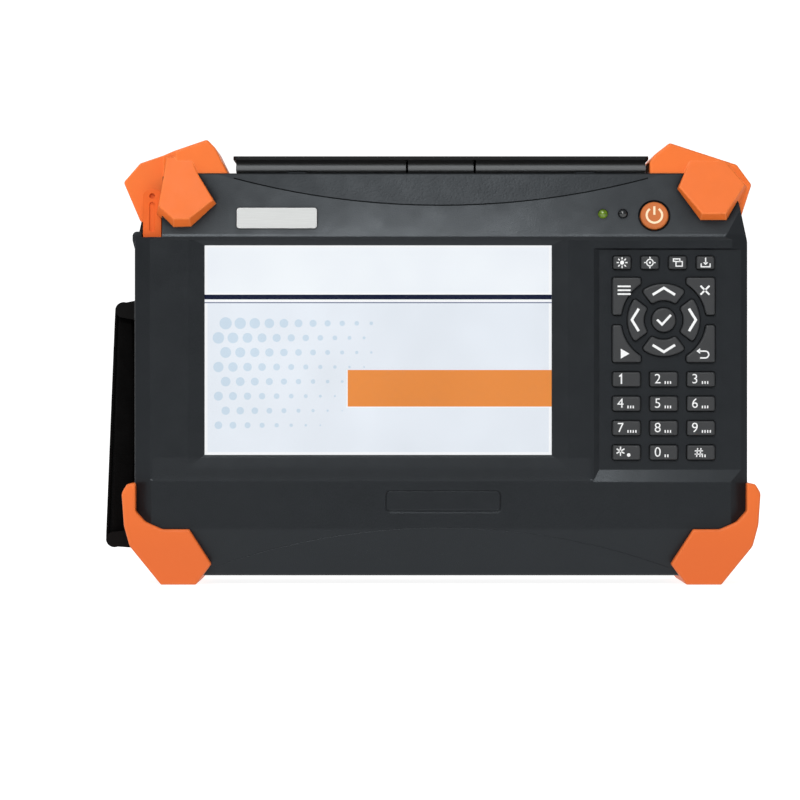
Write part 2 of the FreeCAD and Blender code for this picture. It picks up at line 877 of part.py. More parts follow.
def dust_cover():
    """Long lid over the connector bay, with a snap tongue in its front lip and two hinge knuckles."""
    base = top_z + cover_gap
    crown = top_z + cover_height
    x = cover_half_length
    body = block(-x, x, cover_front, cover_back, base, crown)
    w = cover_wall
    hollow = block(-x + w, x - w, cover_front + w, cover_back - w, -far, crown - cover_plate)
    over = x + cover_overhang
    front_lip = cover_front - bead_depth
    lid = prism_z([(-over, front_lip), (over, front_lip), (over, cover_back), (-over, cover_back)],
                  crown - cover_plate, crown, [lid_corner_radius, lid_corner_radius, 0, 0])
    bead_low = top_z + bead_bottom
    bead = prism_x([
        (front_lip, bead_low), (cover_front + w, bead_low), (cover_front + w, bead_low + bead_height),
        (front_lip, bead_low + bead_height)], -x, x, [bead_radius, 0, 0, bead_radius])
    shape = joined([body.cut(hollow), lid, bead])
    slits = []
    for side in (-1, 1):
        x0 = side * snap_half_width - snap_slit / 2
        slits.append(block(x0, x0 + snap_slit, -far, cover_front + w, base - overrun, crown - cover_plate))
    shape = shape.cut(slits)
    knuckles = []
    for side in (-1, 1):
        x0, x1 = side * hinge_x - knuckle_length / 2, side * hinge_x + knuckle_length / 2
        knuckles.append(rod_x(knuckle_radius, hinge_y, hinge_z(), x0, x1))
        knuckles.append(block(x0, x1, cover_back - w, hinge_y, hinge_z(), crown))
    shape = joined([shape] + knuckles)
    return shape.cut([cover_pin(side, pin_radius + pin_gap) for side in (-1, 1)])


# Screen stack

def glass_width():
    return screen_width + 2 * glass_margin


def glass_height():
    return screen_height + 2 * glass_margin


def screen_glass():
    return prism_y(rectangle(screen_x, screen_z, glass_width(), glass_height()), glass_y, lcd_y)


def lcd_module():
    return prism_y(rectangle(screen_x, screen_z, lcd_width, lcd_height), lcd_y, lcd_back_y)


def lcd_bracket():
    """Sheet metal frame that holds the display against the glass."""
    reach = 2 * (bracket_rim + small_boss_radius)
    outer = rectangle(screen_x, screen_z, lcd_width - bracket_rim, lcd_height + reach)
    inner = rectangle(screen_x, screen_z, lcd_width - 4 * bracket_rim, lcd_height - 2 * bracket_overlap)
    back = lcd_back_y + bracket_thickness
    frame = prism_y(outer, lcd_back_y, back, bracket_corner_radius)
    frame = frame.cut(prism_y(inner, -far, far, bracket_corner_radius))
    return frame.cut([rod_y(small_screw_radius + screw_gap, x, z, -far, far) for x, z in bracket_bosses()])


# Keys

def sector(inner, outer, middle_angle, y0, y1):
    """Arrow key blank: part of a ring about the middle of the pad."""
    def at(radius, angle):
        a = math.radians(angle)
        return Vector(keypad_x + radius * math.cos(a), y0, pad_z + radius * math.sin(a))
    low, high = middle_angle - arrow_half_angle, middle_angle + arrow_half_angle
    wire = Part.Wire([
        Part.Arc(at(outer, low), at(outer, middle_angle), at(outer, high)).toShape(),
        Part.LineSegment(at(outer, high), at(inner, high)).toShape(),
        Part.Arc(at(inner, high), at(inner, middle_angle), at(inner, low)).toShape(),
        Part.LineSegment(at(inner, low), at(outer, low)).toShape(),
    ])
    solid = Part.Face(wire).extrude(Vector(0, y1 - y0, 0))
    return solid.makeFillet(arrow_corner_radius, edges_where(solid, runs_along_y))


def corner_key(side_x_sign, side_z_sign, y0, y1):
    """Large key blank that curves round the arrow ring."""
    x0, x1 = side_x_sign * corner_key_inner[0], side_x_sign * corner_key_outer[0]
    z0, z1 = side_z_sign * corner_key_inner[1], side_z_sign * corner_key_outer[1]
    solid = block(
        keypad_x + min(x0, x1), keypad_x + max(x0, x1), y0, y1, pad_z + min(z0, z1), pad_z + max(z0, z1))
    solid = solid.cut(rod_y(corner_key_arc_radius, keypad_x, pad_z, y0 - overrun, y1 + overrun))
    return solid.makeFillet(small_key_radius, edges_where(solid, runs_along_y))


def key_from(name, blank):
    """Key with its flange and plunger, and the hole that it needs, from a straight blank."""
    wire = front_wire(blank, key_top_y())
    rim = edges_where(blank, lambda edge: lies_at_y(edge, key_top_y()))
    cap = blank.makeChamfer(key_edge_bevel, rim)
    flange = grown(wire, key_flange, key_back_y + rest_gap, flange_back_y)
    box = wire.BoundBox
    x, z = (box.XMin + box.XMax) / 2, (box.ZMin + box.ZMax) / 2
    if name in corner_plungers:
        x = keypad_x + corner_plungers[name][0]
        z = pad_z + corner_plungers[name][1]
    plunger = rod_y(key_plunger_radius, x, z, flange_back_y, plunger_end_y)
    hole = grown(wire, key_gap, key_floor_y - overrun, key_back_y + rest_gap)
    return {"name": name, "solid": joined([cap, flange, plunger]), "hole": hole, "place": (x, z)}


def key_top_y():
    return key_floor_y - key_height


def key_plunger_offsets():
    """The corner keys are pressed near their outer corner, where they are widest."""
    x = corner_key_outer[0] - 2 * key_plunger_radius
    z = corner_key_outer[1] - 2 * key_plunger_radius
    return {"key_menu": (-x, z), "key_delete": (x, z), "key_start": (-x, -z), "key_escape": (x, -z)}


corner_plungers = key_plunger_offsets()


def all_keys():
    """Every key on the pad, in reading order."""
    y0, y1 = key_top_y(), key_back_y + rest_gap
    keys = []
    for i, name in enumerate(("light", "locate", "windows", "save")):
        x = keypad_x + (i - 1.5) * function_pitch
        blank = prism_y(rectangle(x, function_row_z, *function_key), y0, y1, small_key_radius)
        keys.append(key_from("key_" + name, blank))
    corners = (("menu", -1, 1), ("delete", 1, 1), ("start", -1, -1), ("escape", 1, -1))
    for name, i, j in corners:
        keys.append(key_from("key_" + name, corner_key(i, j, y0, y1)))
    for name, angle in (("right", 0), ("up", 90), ("left", 180), ("down", 270)):
        keys.append(key_from("key_" + name, sector(arrow_inner_radius, arrow_outer_radius, angle, y0, y1)))
    keys.append(key_from("key_ok", rod_y(ok_radius, keypad_x, pad_z, y0, y1)))
    names = ("1", "2", "3", "4", "5", "6", "7", "8", "9", "star", "0", "hash")
    for i, name in enumerate(names):
        x = keypad_x + (i % 3 - 1) * number_pitch[0]
        z = number_row_z - (i // 3) * number_pitch[1]
        blank = prism_y(rectangle(x, z, *number_key), y0, y1, small_key_radius)
        keys.append(key_from("key_" + name, blank))
    return keys


def keypad_membrane(keys):
    """Silicone sheet with one sprung dome under each key."""
    x0, x1, z0, z1 = keypad_board_area()
    edge = 2 * small_boss_radius
    sheet = block(x0 + edge, x1 - edge, membrane_y, keypad_board_y, z0 + edge / 2, z1 - edge / 2)
    posts = [rod_y(small_boss_radius + pocket_clearance, x, z, -far, far) for x, z in keypad_bosses()]
    domes = []
    for key in keys:
        x, z = key["place"]
        domes.append(Part.makeCone(
            key_plunger_radius, dome_radius, dome_height, Vector(x, plunger_end_y, z), Vector(0, 1, 0)))
    return joined([sheet.cut(posts)] + domes)


def keypad_circuit_board():
    x0, x1, z0, z1 = keypad_board_area()
    board = block(x0, x1, keypad_board_y, keypad_board_y + board_thickness, z0, z1)
    return board.cut([rod_y(small_screw_radius + screw_gap, x, z, -far, far) for x, z in keypad_bosses()])


# Controls and trim on the band

def power_button():
    """Round button with a flange behind the band and a plunger down to its switch."""
    head = rod_y(power_radius, power_x, power_up, -power_height, band_wall + rest_gap)
    rim = edges_where(head, lambda edge: lies_at_y(edge, -power_height))
    head = head.makeChamfer(key_edge_bevel, rim)
    flange_y = band_wall + rest_gap
    flange = rod_y(power_radius + key_flange, power_x, power_up, flange_y, flange_y + key_flange_thickness)
    plunger = rod_y(key_plunger_radius, power_x, power_up, flange_y, led_board_depth - dome_height)
    return on_band(joined([head, flange, plunger]))


def status_lamp(x):
    """Lamp with a domed lens through the band, standing on its board."""
    body = rod_y(led_radius, x, led_up, lens_sink, led_board_depth)
    lens = Part.makeSphere(led_radius, Vector(x, lens_sink, led_up))
    lens = lens.common(block(-far, far, -far, lens_sink, -far, far))
    rim = rod_y(led_radius + led_flange, x, led_up, led_board_depth - led_rim_height, led_board_depth)
    return on_band(joined([body, lens, rim]))


def led_board():
    """Small board behind the band that carries the lamps and the power switch."""
    x0, x1, z0, z1 = band_bay
    gap = pocket_clearance
    y0 = led_board_depth
    board = block(x0 + gap, x1 - gap, y0, y0 + board_thickness, z0 + gap, z1 - gap)
    return on_band(board)


def name_plate():
    """Blank metal plate in its shallow pocket."""
    width, height = plate_size
    gap = 2 * led_gap
    points = rectangle(plate_x, plate_up, width - gap, height - gap)
    y0 = plate_pocket - plate_thickness
    return on_band(prism_y(points, y0, plate_pocket, plate_corner_radius))


# Bumpers

def soft_prism(points, y0, y1, corner_radius):
    """Prism of an (x, z) outline with rounded corners and rounded front and back rims."""
    shape = prism_y(points, y0, y1, corner_radius)
    rims = edges_where(shape, lambda edge: lies_at_y(edge, y0) or lies_at_y(edge, y1))
    return shape.makeFillet(bumper_rim_radius, rims)


def from_corner(points, base_z, side):
    """Front view of a bumper from its outline beside the case."""
    placed = [(half_width + out, base_z + up) for out, up in points]
    return placed if side > 0 else mirrored(placed)


def tongue(side):
    """Front tongue of an upper bumper: it leans back, widens towards the case and dies into the block."""
    points = right_tongue if side > 0 else left_tongue
    top = [point for point in points if point[1] > 0]
    middle_out, middle_up = (sum(values) / len(top) for values in zip(*top))
    wires = []
    for spread, depth in ((1.0, 0.0), (tongue_spread, tongue_depth)):
        ring = []
        for out, up in points:
            ring.append((middle_out + (out - middle_out) * spread, middle_up + (up - middle_up) * spread))
        corners = []
        for x, z in from_corner(ring, top_z, side):
            corners.append(Vector(x, block_front_y + depth - (top_z + tongue_fade - z) * tongue_lean, z))
        wires.append(Part.makePolygon(corners + corners[:1]))
    shape = Part.makeLoft(wires, True, True)
    face = Part.Face(wires[0])

    def on_face(edge):
        return all(face.distToShape(vertex)[0] < 1e-4 for vertex in edge.Vertexes)
    return shape.makeFillet(bumper_rim_radius / 2, edges_where(shape, on_face))


def right_upper_bumper(envelope):
    """Soft cap over the upper right corner: a block round the corner and a tongue over the band."""
    points = from_corner(right_block, top_z, 1)
    shape = soft_prism(points, block_front_y, back_y + bumper_reach, bumper_corner_radius)
    return shape.fuse(tongue(1)).cut(envelope).removeSplitter()


def left_upper_bumper(envelope):
    """Soft cap over the upper left corner, which also lines the stylus notch behind the stylus."""
    points = from_corner(left_block, top_z, -1)
    shape = soft_prism(points, block_front_y, back_y + bumper_reach, bumper_corner_radius)
    lining_y = stylus_y + stylus_head[1] / 2 + notch_side_gap
    room = [
        (-far, lining_y), (notch_x, lining_y), (notch_x + notch_ramp, block_front_y),
        (notch_x + notch_ramp, -far), (-far, -far),
    ]
    shape = shape.cut(prism_z(room, -far, far)).fuse(tongue(-1))
    return shape.cut([envelope.cut(stylus_notch()), stylus_path()]).removeSplitter()


def lower_bumper(envelope, side):
    """Soft foot over a lower corner, with an arm up the side and pads on the front and the back."""
    points = from_corner(lower_bumper_outline, 0, side)
    shape = soft_prism(points, brow_y - bumper_reach, back_y + bumper_reach, lower_bumper_rounding)
    shape = shape.cut(envelope)
    if side < 0:
        shape = shape.cut(strap_room())
    return shape.removeSplitter()


# Stylus

def stylus_bore():
    top = brow_z
    depth = stylus_shaft + stylus_gap
    return rod_z(stylus_radius + stylus_gap, stylus_x, stylus_y, top - depth, top + overrun)


def stylus_path():
    """Room that the stylus needs on its way out of the case."""
    width, depth, _ = stylus_head
    gap = notch_side_gap
    return block(
        stylus_x - width / 2 - gap, stylus_x + width / 2 + gap,
        stylus_y - depth / 2 - gap, stylus_y + depth / 2 + gap, brow_z - overrun, far)


def stylus():
    """Touch pen: a round shaft with a tapered tip, and a flat head with a dimple and a thumb groove."""
    width, depth, height = stylus_head
    low = brow_z - stylus_shaft
    seat = brow_z + rest_gap
    shaft = rod_z(stylus_radius, stylus_x, stylus_y, low + stylus_tip, seat)
    tip = Part.makeCone(
        stylus_tip_radius, stylus_radius, stylus_tip, Vector(stylus_x, stylus_y, low), Vector(0, 0, 1))
    x0, x1 = stylus_x - width / 2, stylus_x + width / 2
    top = seat + height
    head = prism_y([(x0, seat), (x1, seat), (x1, top), (x0, top)], stylus_y - depth / 2, stylus_y + depth / 2,
                   [0, 0, stylus_head_radii[0], stylus_head_radii[1]])
    front = stylus_y - depth / 2
    wide, deep, length, up = stylus_groove
    groove = prism_y(
        rectangle(stylus_x, seat + up + length / 2, wide, length),
        front - overrun, front + deep, wide / 2 - groove_end_flat)
    dimple_radius, dimple_depth, dimple_drop = stylus_dimple
    dimple = rod_y(dimple_radius, stylus_x, top - dimple_drop, front - overrun, front + dimple_depth)
    return joined([shaft, tip, head]).cut([groove, dimple])


# Hand strap

def strap_bar(place, radius):
    """Bar through the strap's loop, pushed in from the back; the front ear hides its end."""
    out, z = place
    front, back = lug_faces()
    return rod_y(radius, side_x - out, z, front + bar_cover, back + lug_thickness)


def wall_x(z):
    """Half width of the case at one height, on the side wall or the lower corner."""
    run, rise = lower_corner_cut
    return half_width - run * max(0.0, 1 - (z - bottom_z) / rise)


def strap_lugs():
    """Four ears on the left wall that hold the two strap bars."""
    lugs = []
    for out, z in (strap_top, strap_bottom):
        x = side_x - out
        low, high = z - lug_radius - lug_flare, z + lug_radius + lug_flare
        bite = case_wall / 2
        points = [
            (bite - wall_x(low), low), (bite - wall_x(high), high),
            (x, z + lug_radius), (x - lug_radius, z + lug_radius),
            (x - lug_radius, z - lug_radius), (x, z - lug_radius),
        ]
        tip_radius = lug_radius - lug_end_flat
        rounding = [0, 0, 0, tip_radius, tip_radius, 0]
        for y0 in lug_faces():
            lugs.append(prism_y(points, y0, y0 + lug_thickness, rounding))
    return lugs


def lug_faces():
    """Front face of the front ears and of the back ears."""
    return strap_front - lug_gap - lug_thickness, strap_front + strap_width + lug_gap


def strap_room():
    """Space beside the left wall that the lower bumper leaves to the strap and its lugs."""
    gap = 2 * lug_gap
    front, back = lug_faces()
    low = strap_bottom[1] - lug_radius - lug_flare - gap
    return block(-far, 0, front - gap, back + lug_thickness + gap, low, far)


def hand_strap():
    """Padded strap between the two bars: a web with a loop round each bar, and a cushion inside."""
    y0, y1 = strap_front, strap_front + strap_width
    (out_top, z_top), (out_low, z_low) = strap_top, strap_bottom
    r = strap_loop_radius
    top_x, low_x = side_x - out_top - r, side_x - out_low - r
    t = strap_thickness
    web = prism_y([(top_x, z_top), (low_x, z_low), (low_x + t, z_low), (top_x + t, z_top)], y0, y1)
    loops = [rod_y(r, side_x - out, z, y0, y1) for out, z in (strap_top, strap_bottom)]
    inner = side_x - strap_rest_gap
    pad = prism_y([
        (top_x + t / 2, z_top), (low_x + t / 2, z_low), (inner, z_low + 2 * r), (inner, z_top)],
        y0 + cushion_inset, y1 - cushion_inset)
    bars = [strap_bar(place, strap_bar_radius) for place in (strap_top, strap_bottom)]
    return joined([web, pad] + loops).cut(bars)


# Battery

def battery_box(gap):
    width, depth, height = battery
    back = door_seat_y() - door_gap
    return block(
        battery_x - width / 2 - gap, battery_x + width / 2 + gap, back - depth, back,
        battery_z - height / 2 - gap, battery_z + height / 2 + gap)


def door_seat_y():
    return back_y - door_thickness


def battery_block():
    width, depth, height = battery
    gap = battery_gap + case_wall
    front = door_seat_y() - door_gap - depth - case_wall
    reach = battery_gap + door_lip + case_wall
    return block(battery_x - width / 2 - gap, battery_x + width / 2 + gap, front, far,
                 battery_z - height / 2 - reach, battery_z + height / 2 + reach)


def battery_pocket():
    return battery_box(battery_gap).fuse(battery_box(battery_gap).translated(Vector(0, door_gap, 0)))


def door_area(gap=0.0):
    width, _, height = battery
    margin = battery_gap - gap
    return rectangle(battery_x, battery_z, width + 2 * margin, height + 2 * (door_lip + margin))


def door_pocket():
    return prism_y(door_area(), door_seat_y(), far, door_corner_radius)


def door_screws():
    """Places of the two screws in the lower edge of the battery door."""
    width, _, height = battery
    z = battery_z - height / 2 - battery_gap - door_lip / 2
    return [(battery_x + side * width / 3, z) for side in (-1, 1)]


def battery_door():
    """Cover plate over the battery with grip ribs on its upper part."""
    plate = prism_y(door_area(door_gap), door_seat_y(), back_y, door_corner_radius - door_gap)
    length, width, rise = door_rib
    ribs = []
    for i in range(door_rib_count):
        z = battery_z + battery[2] / 2 - door_rib_drop - door_rib_pitch * i
        points = rectangle(battery_x, z, length, width)
        ribs.append(prism_y(points, back_y - rise, back_y + rise, door_rib_radius))
    holes = []
    for x, z in door_screws():
        holes.append(rod_y(small_screw_radius + screw_gap, x, z, -far, far))
        holes.append(rod_y(small_screw_head[0] + screw_gap, x, z, back_y - small_screw_head[1], far))
    return joined([plate] + ribs).cut(holes)


def battery_pack():
    """Shrink-wrapped pack of four round cells."""
    width, depth, height = battery
    back = door_seat_y() - door_gap
    x0, x1 = battery_x - width / 2, battery_x + width / 2
    points = [(x0, back - depth), (x1, back - depth), (x1, back), (x0, back)]
    return prism_z(points, battery_z - height / 2, battery_z + height / 2, depth / 2 - battery_end_flat)


# Tilt stand

def stand_hinge_y():
    return back_y - stand_thickness / 2 - stand_gap / 2


def stand_area(gap=0.0):
    top = stand_hinge_z + stand_thickness / 2 + stand_gap
    low = top - stand_length - 2 * stand_gap
    half = stand_width / 2 + stand_gap
    return [(stand_x - half + gap, low + gap), (stand_x + half - gap, low + gap),
            (stand_x + half - gap, top - gap), (stand_x - half + gap, top - gap)]


def stand_block():
    points = stand_area(-case_wall - stand_surround)
    return prism_y(points, back_y - stand_thickness - stand_gap - case_wall, far)


def stand_recess():
    floor_y = back_y - stand_thickness - stand_gap
    pocket = prism_y(stand_area(), floor_y, far)
    top = stand_hinge_z + stand_thickness / 2 + stand_gap
    relief = prism_x([
        (back_y - stand_thickness / 2, top - stand_relief), (back_y + stand_relief, top - stand_relief),
        (back_y + stand_relief, top + stand_thickness)],
        stand_x - stand_width / 2 - stand_gap, stand_x + stand_width / 2 + stand_gap)
    finger = rod_y(stand_finger_radius, stand_x, stand_area()[0][1], floor_y, far)
    return pocket.fuse([relief, finger])


def stand_pin_rod(radius):
    half = stand_width / 2 + stand_gap + stand_pin_bite
    return rod_x(radius, stand_hinge_y(), stand_hinge_z, stand_x - half, stand_x + half)


def tilt_stand():
    """Fold-out leg with a hinge barrel along its top edge and stiffening ribs inside."""
    t = stand_thickness
    x0, x1 = stand_x - stand_width / 2, stand_x + stand_width / 2
    y = stand_hinge_y()
    low = stand_hinge_z + t / 2 - stand_length
    plate = prism_y([(x0, low), (x1, low), (x1, stand_hinge_z), (x0, stand_hinge_z)], y - t / 2, y + t / 2,
                    [stand_corner_radius, stand_corner_radius, 0, 0])
    barrel = rod_x(t / 2, y, stand_hinge_z, x0, x1)
    rib_width, rib_depth = stand_rib
    side_border, foot_border, hinge_border = stand_border
    cell = (stand_width - 2 * side_border - (stand_cells - 1) * rib_width) / stand_cells
    cell_low, cell_high = low + foot_border, stand_hinge_z - hinge_border
    pockets = []
    for i in range(stand_cells):
        left = x0 + side_border + i * (cell + rib_width)
        points = [(left, cell_low), (left + cell, cell_low), (left + cell, cell_high), (left, cell_high)]
        pockets.append(prism_y(points, -far, y - t / 2 + rib_depth, stand_cell_radius))
    return joined([plate, barrel]).cut(pockets + [stand_pin_rod(stand_pin_radius + pin_gap)])


# Fasteners

def screw(x, z, y_tip, y_seat, radius, head):
    """Screw along Y with its head towards the back."""
    head_radius, head_height = head
    shank = rod_y(radius, x, z, y_tip, y_seat)
    return joined([shank, rod_y(head_radius, x, z, y_seat, y_seat + head_height)])


def case_screws():
    tip = case_screw_seat - case_screw_length
    return Part.makeCompound([
        screw(x, z, tip, case_screw_seat, case_screw_radius, case_screw_head) for x, z in case_screw_places])


def door_screw_group():
    seat = back_y - small_screw_head[1]
    tip = seat - small_screw_length
    return Part.makeCompound([
        screw(x, z, tip, seat, small_screw_radius, small_screw_head) for x, z in door_screws()])


def board_screws():
    """Small screws that hold the boards and the display bracket."""
    group = []
    for x, z in bracket_bosses():
        tip, seat = lcd_back_y - small_thread(), lcd_back_y + bracket_thickness
        group.append(screw(x, z, tip, seat, small_screw_radius, small_screw_head))
    for x, z in keypad_bosses():
        tip, seat = keypad_board_y - small_thread(), keypad_board_y + board_thickness
        group.append(screw(x, z, tip, seat, small_screw_radius, small_screw_head))
    for x, z in main_board_posts:
        front = main_board_y
        head_radius, head_height = small_screw_head
        group.append(joined([
            rod_y(small_screw_radius, x, z, front, front + small_screw_length),
            rod_y(head_radius, x, z, front - head_height, front)]))
    return Part.makeCompound(group)


def hinge_pins():
    """Steel pins of the dust cover and the tilt stand."""
    pins = [cover_pin(side, pin_radius) for side in (-1, 1)]
    return Part.makeCompound(pins + [stand_pin_rod(stand_pin_radius)])


def strap_bars():
    return Part.makeCompound([strap_bar(place, strap_bar_radius) for place in (strap_top, strap_bottom)])


def export(name, shape):
    placed = shape.copy()
    placed.translate(frame_shift)
    placed.exportStep(os.path.join("parts", name + ".step"))


def main():
    os.makedirs("parts", exist_ok=True)
    envelope = case_envelope()
    keys = all_keys()
    pieces = {
        "front_cover": front_cover(envelope, keys),
        "rear_case": rear_case(envelope),
        "case_gasket": gasket(),
        "connector_panel": connector_panel(),
        "rj45_jacks": rj45_jacks(),
        "sfp_cages": sfp_cages(),
        "usb_socket": usb_socket(),
        "dc_jack": dc_jack(),
        "main_board": main_circuit_board(),
        "dust_cover": dust_cover(),
        "screen_glass": screen_glass(),
        "lcd_module": lcd_module(),
        "lcd_bracket": lcd_bracket(),
        "keypad_membrane": keypad_membrane(keys),
        "keypad_board": keypad_circuit_board(),
        "power_button": power_button(),
        "power_led": status_lamp(led_x[0]),
        "charge_led": status_lamp(led_x[1]),
        "led_board": led_board(),
        "name_plate": name_plate(),
        "bumper_top_right": right_upper_bumper(envelope),
        "bumper_top_left": left_upper_bumper(envelope),
        "bumper_bottom_right": lower_bumper(envelope, 1),
        "bumper_bottom_left": lower_bumper(envelope, -1),
        "stylus": stylus(),
        "hand_strap": hand_strap(),
        "strap_bars": strap_bars(),
        "battery_pack": battery_pack(),
        "battery_door": battery_door(),
        "tilt_stand": tilt_stand(),
        "hinge_pins": hinge_pins(),
        "case_screws": case_screws(),
        "battery_door_screws": door_screw_group(),
        "board_screws": board_screws(),
    }
    for key in keys:
        pieces[key["name"]] = key["solid"]
    for name, shape in pieces.items():
        export(name, shape)


main()
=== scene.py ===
import json
import math

import bmesh
import bpy
from mathutils import Matrix, Vector


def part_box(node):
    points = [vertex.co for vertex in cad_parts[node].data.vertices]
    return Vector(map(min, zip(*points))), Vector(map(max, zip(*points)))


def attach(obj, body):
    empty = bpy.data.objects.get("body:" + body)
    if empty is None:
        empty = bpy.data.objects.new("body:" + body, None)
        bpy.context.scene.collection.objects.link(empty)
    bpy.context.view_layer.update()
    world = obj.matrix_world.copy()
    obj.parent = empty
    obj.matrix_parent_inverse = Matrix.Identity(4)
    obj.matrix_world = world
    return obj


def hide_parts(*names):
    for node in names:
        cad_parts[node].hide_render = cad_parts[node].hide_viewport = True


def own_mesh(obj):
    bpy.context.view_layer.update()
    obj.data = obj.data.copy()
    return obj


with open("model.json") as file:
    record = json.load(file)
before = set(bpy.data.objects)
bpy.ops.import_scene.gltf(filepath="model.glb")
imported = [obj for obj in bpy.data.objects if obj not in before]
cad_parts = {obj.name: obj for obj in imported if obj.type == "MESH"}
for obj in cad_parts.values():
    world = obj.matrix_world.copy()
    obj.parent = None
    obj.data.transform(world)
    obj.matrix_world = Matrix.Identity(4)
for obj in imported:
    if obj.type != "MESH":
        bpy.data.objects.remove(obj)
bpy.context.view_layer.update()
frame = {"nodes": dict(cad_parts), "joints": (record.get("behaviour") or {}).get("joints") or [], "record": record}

# Looks of a rugged handheld tester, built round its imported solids.
# Metres. X runs to the right of someone facing the screen, -Y is the front, +Z is up.

nodes = frame["nodes"]
mm = 0.001

# Camera and stage
camera_distance = 1.7
camera_height = 80.8 * mm
camera_left = 17.5 * mm
view_width = 350.4 * mm
sensor_width = 36.0
floor_reach = 4.0
sweep_radius = 1.2
sweep_steps = 24
stage_grey = (0.24, 0.24, 0.24)
stage_cloud = 0.4
stage_glow = (0.91, 0.97)
glow_reach = (0.3, 1.4)
sky_light = 0.14

# Area lights: place, width and height, power in watts. They point at the case, light_aim above the floor.
lights = {
    "overhead": ((-0.5, -0.9, 1.8), (1.5, 0.9), 14.5),
    "panel": ((-0.3, -2.0, 1.28), (1.2, 0.42), 28.5),
    "rim_left": ((-1.4, 0.3, 0.7), (0.6, 1.0), 4.0),
    "rim_right": ((1.4, 0.5, 0.8), (0.6, 1.0), 1.2),
    "back": ((0.3, 2.0, 1.5), (1.4, 0.9), 16.0),
}
light_aim = 90.0 * mm

# Colours, as linear light
white_light = (1.0, 1.0, 1.0)
no_light = (0.0, 0.0, 0.0)
dark_grey = (0.0082, 0.0092, 0.0108)
dark_shine = (0.86, 0.94, 1.0)
cover_black = (0.0036, 0.0037, 0.0039)
rear_grey = (0.0125, 0.0133, 0.0145)
# Painted light: paler grey of the dust cover's skirt
skirt_painted_light_grey = (0.11, 0.115, 0.118)
key_grey = (0.0195, 0.0212, 0.0232)
silicone_grey = (0.06, 0.06, 0.062)
socket_black = (0.014, 0.014, 0.015)
bezel_black = (0.012, 0.013, 0.015)
orange = (0.80, 0.162, 0.0245)
# Painted highlight along the bumper edges
orange_edge_highlight = (1.0, 0.31, 0.10)
# Painted shade on the bumpers towards their feet
orange_painted_low_shade = (0.68, 0.130, 0.024)
orange_button = (0.505, 0.138, 0.033)
# Pen orange: its own redder hue, darkened further with painted shade for the bumper that hangs over it
orange_pen_and_shade = (0.69, 0.112, 0.0135)
legend_white = (0.80, 0.81, 0.81)
legend_cream = (0.88, 0.70, 0.46)
strap_black = (0.0022, 0.0019, 0.0019)
thread_black = (0.016, 0.016, 0.017)
board_green = (0.012, 0.075, 0.028)
battery_blue = (0.02, 0.06, 0.16)
steel_grey = (0.52, 0.53, 0.54)
contact_gold = (0.85, 0.56, 0.2)
plate_silver = (0.405, 0.415, 0.41)
plate_edge = (0.9, 0.9, 0.9)
lens_green = (0.03, 0.06, 0.006)
lens_glow = (0.12, 0.2, 0.006)
lens_dark = (0.017, 0.019, 0.021)
glass_tint = (0.97, 0.985, 1.0)
display_pale = (0.825, 0.865, 0.92)
display_head = (0.9, 0.93, 0.98)
display_white = (0.98, 0.99, 1.0)
display_motif = (0.62, 0.73, 0.83)
display_navy = (0.006, 0.010, 0.035)
display_blue = (0.13, 0.16, 0.26)
display_orange = (0.86, 0.28, 0.06)

# Patterns: noise mostly stays within noise_range, and wave_band is the width of a wave at scale 1
noise_range = (0.3, 0.7)
wave_band = 0.3
mottle_size = 22.0 * mm
case_cloud = 30.0 * mm
case_gloss = 8.0 * mm
gloss_size = 6.0 * mm
gloss_change = 0.06
fine_grain = 0.5 * mm
spark_grain = 0.45 * mm
spark_depth = 0.05 * mm

# Masks of edges, and of sheltered faces where shade is painted: the measured range that becomes 0 to 1, and the
# samples taken
edge_turn = (1.0, 0.8)
edge_samples = 4
shelter_range = (0.92, 0.6)
shelter_samples = 6

# Front face
front_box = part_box("front_cover")
case_x = (front_box[0].x + front_box[1].x) / 2
front_y = front_box[0].y
lug_edge = front_box[0].x - 0.3 * mm
lug_dullness = 0.4

# Edges of the front: radius off and on the chin, wider below the screen and under the chin's recess.
# A zone is a middle and a half width, across from the middle of the case or up.
chin_top = 46.2 * mm
edge_radius = (0.15 * mm, 0.5 * mm)
soft_across = (-30.0 * mm, 96.0 * mm)
soft_up = (49.5 * mm, 4.3 * mm)
soft_radius = 3.5 * mm
recess_across = (1.0 * mm, 28.0 * mm)
recess_up = (31.0 * mm, 2.5 * mm)
recess_radius = 0.9 * mm

# Gloss of the front: its roughness, what is added to it, and where
case_roughness = (0.28, 0.34)
bevel_up = (50.3 * mm, 5.2 * mm)
bevel_dullness = 0.29
sill_across = (100.0 * mm, 33.0 * mm)
sill_up = (47.5 * mm, 3.0 * mm)
sill_fade = (70.0 * mm, 128.0 * mm)
sill_dullness = 0.27
band_foot = 153.5 * mm
band_ends = (35.0 * mm, 115.0 * mm)
end_dullness = 0.15
rise_dullness = 0.07
shelter_reach = 10.0 * mm
shelter_dullness = 0.5

# Leather grain above the curved line of the band
line_curve = 1.45
line_foot = 166.2 * mm
leather_back = -22.0 * mm
leather_cell = 1.3 * mm
leather_height = 0.9
leather_dullness = 0.06

# Bumpers and dust cover
# Heights over which painted shade on the bumpers fades in towards the feet
low_shade_reach = (15.0 * mm, 60.0 * mm)
# Share of the painted highlight along the bumper edges
edge_highlight_share = 0.85
lip_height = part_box("dust_cover")[1].z - 3.6 * mm

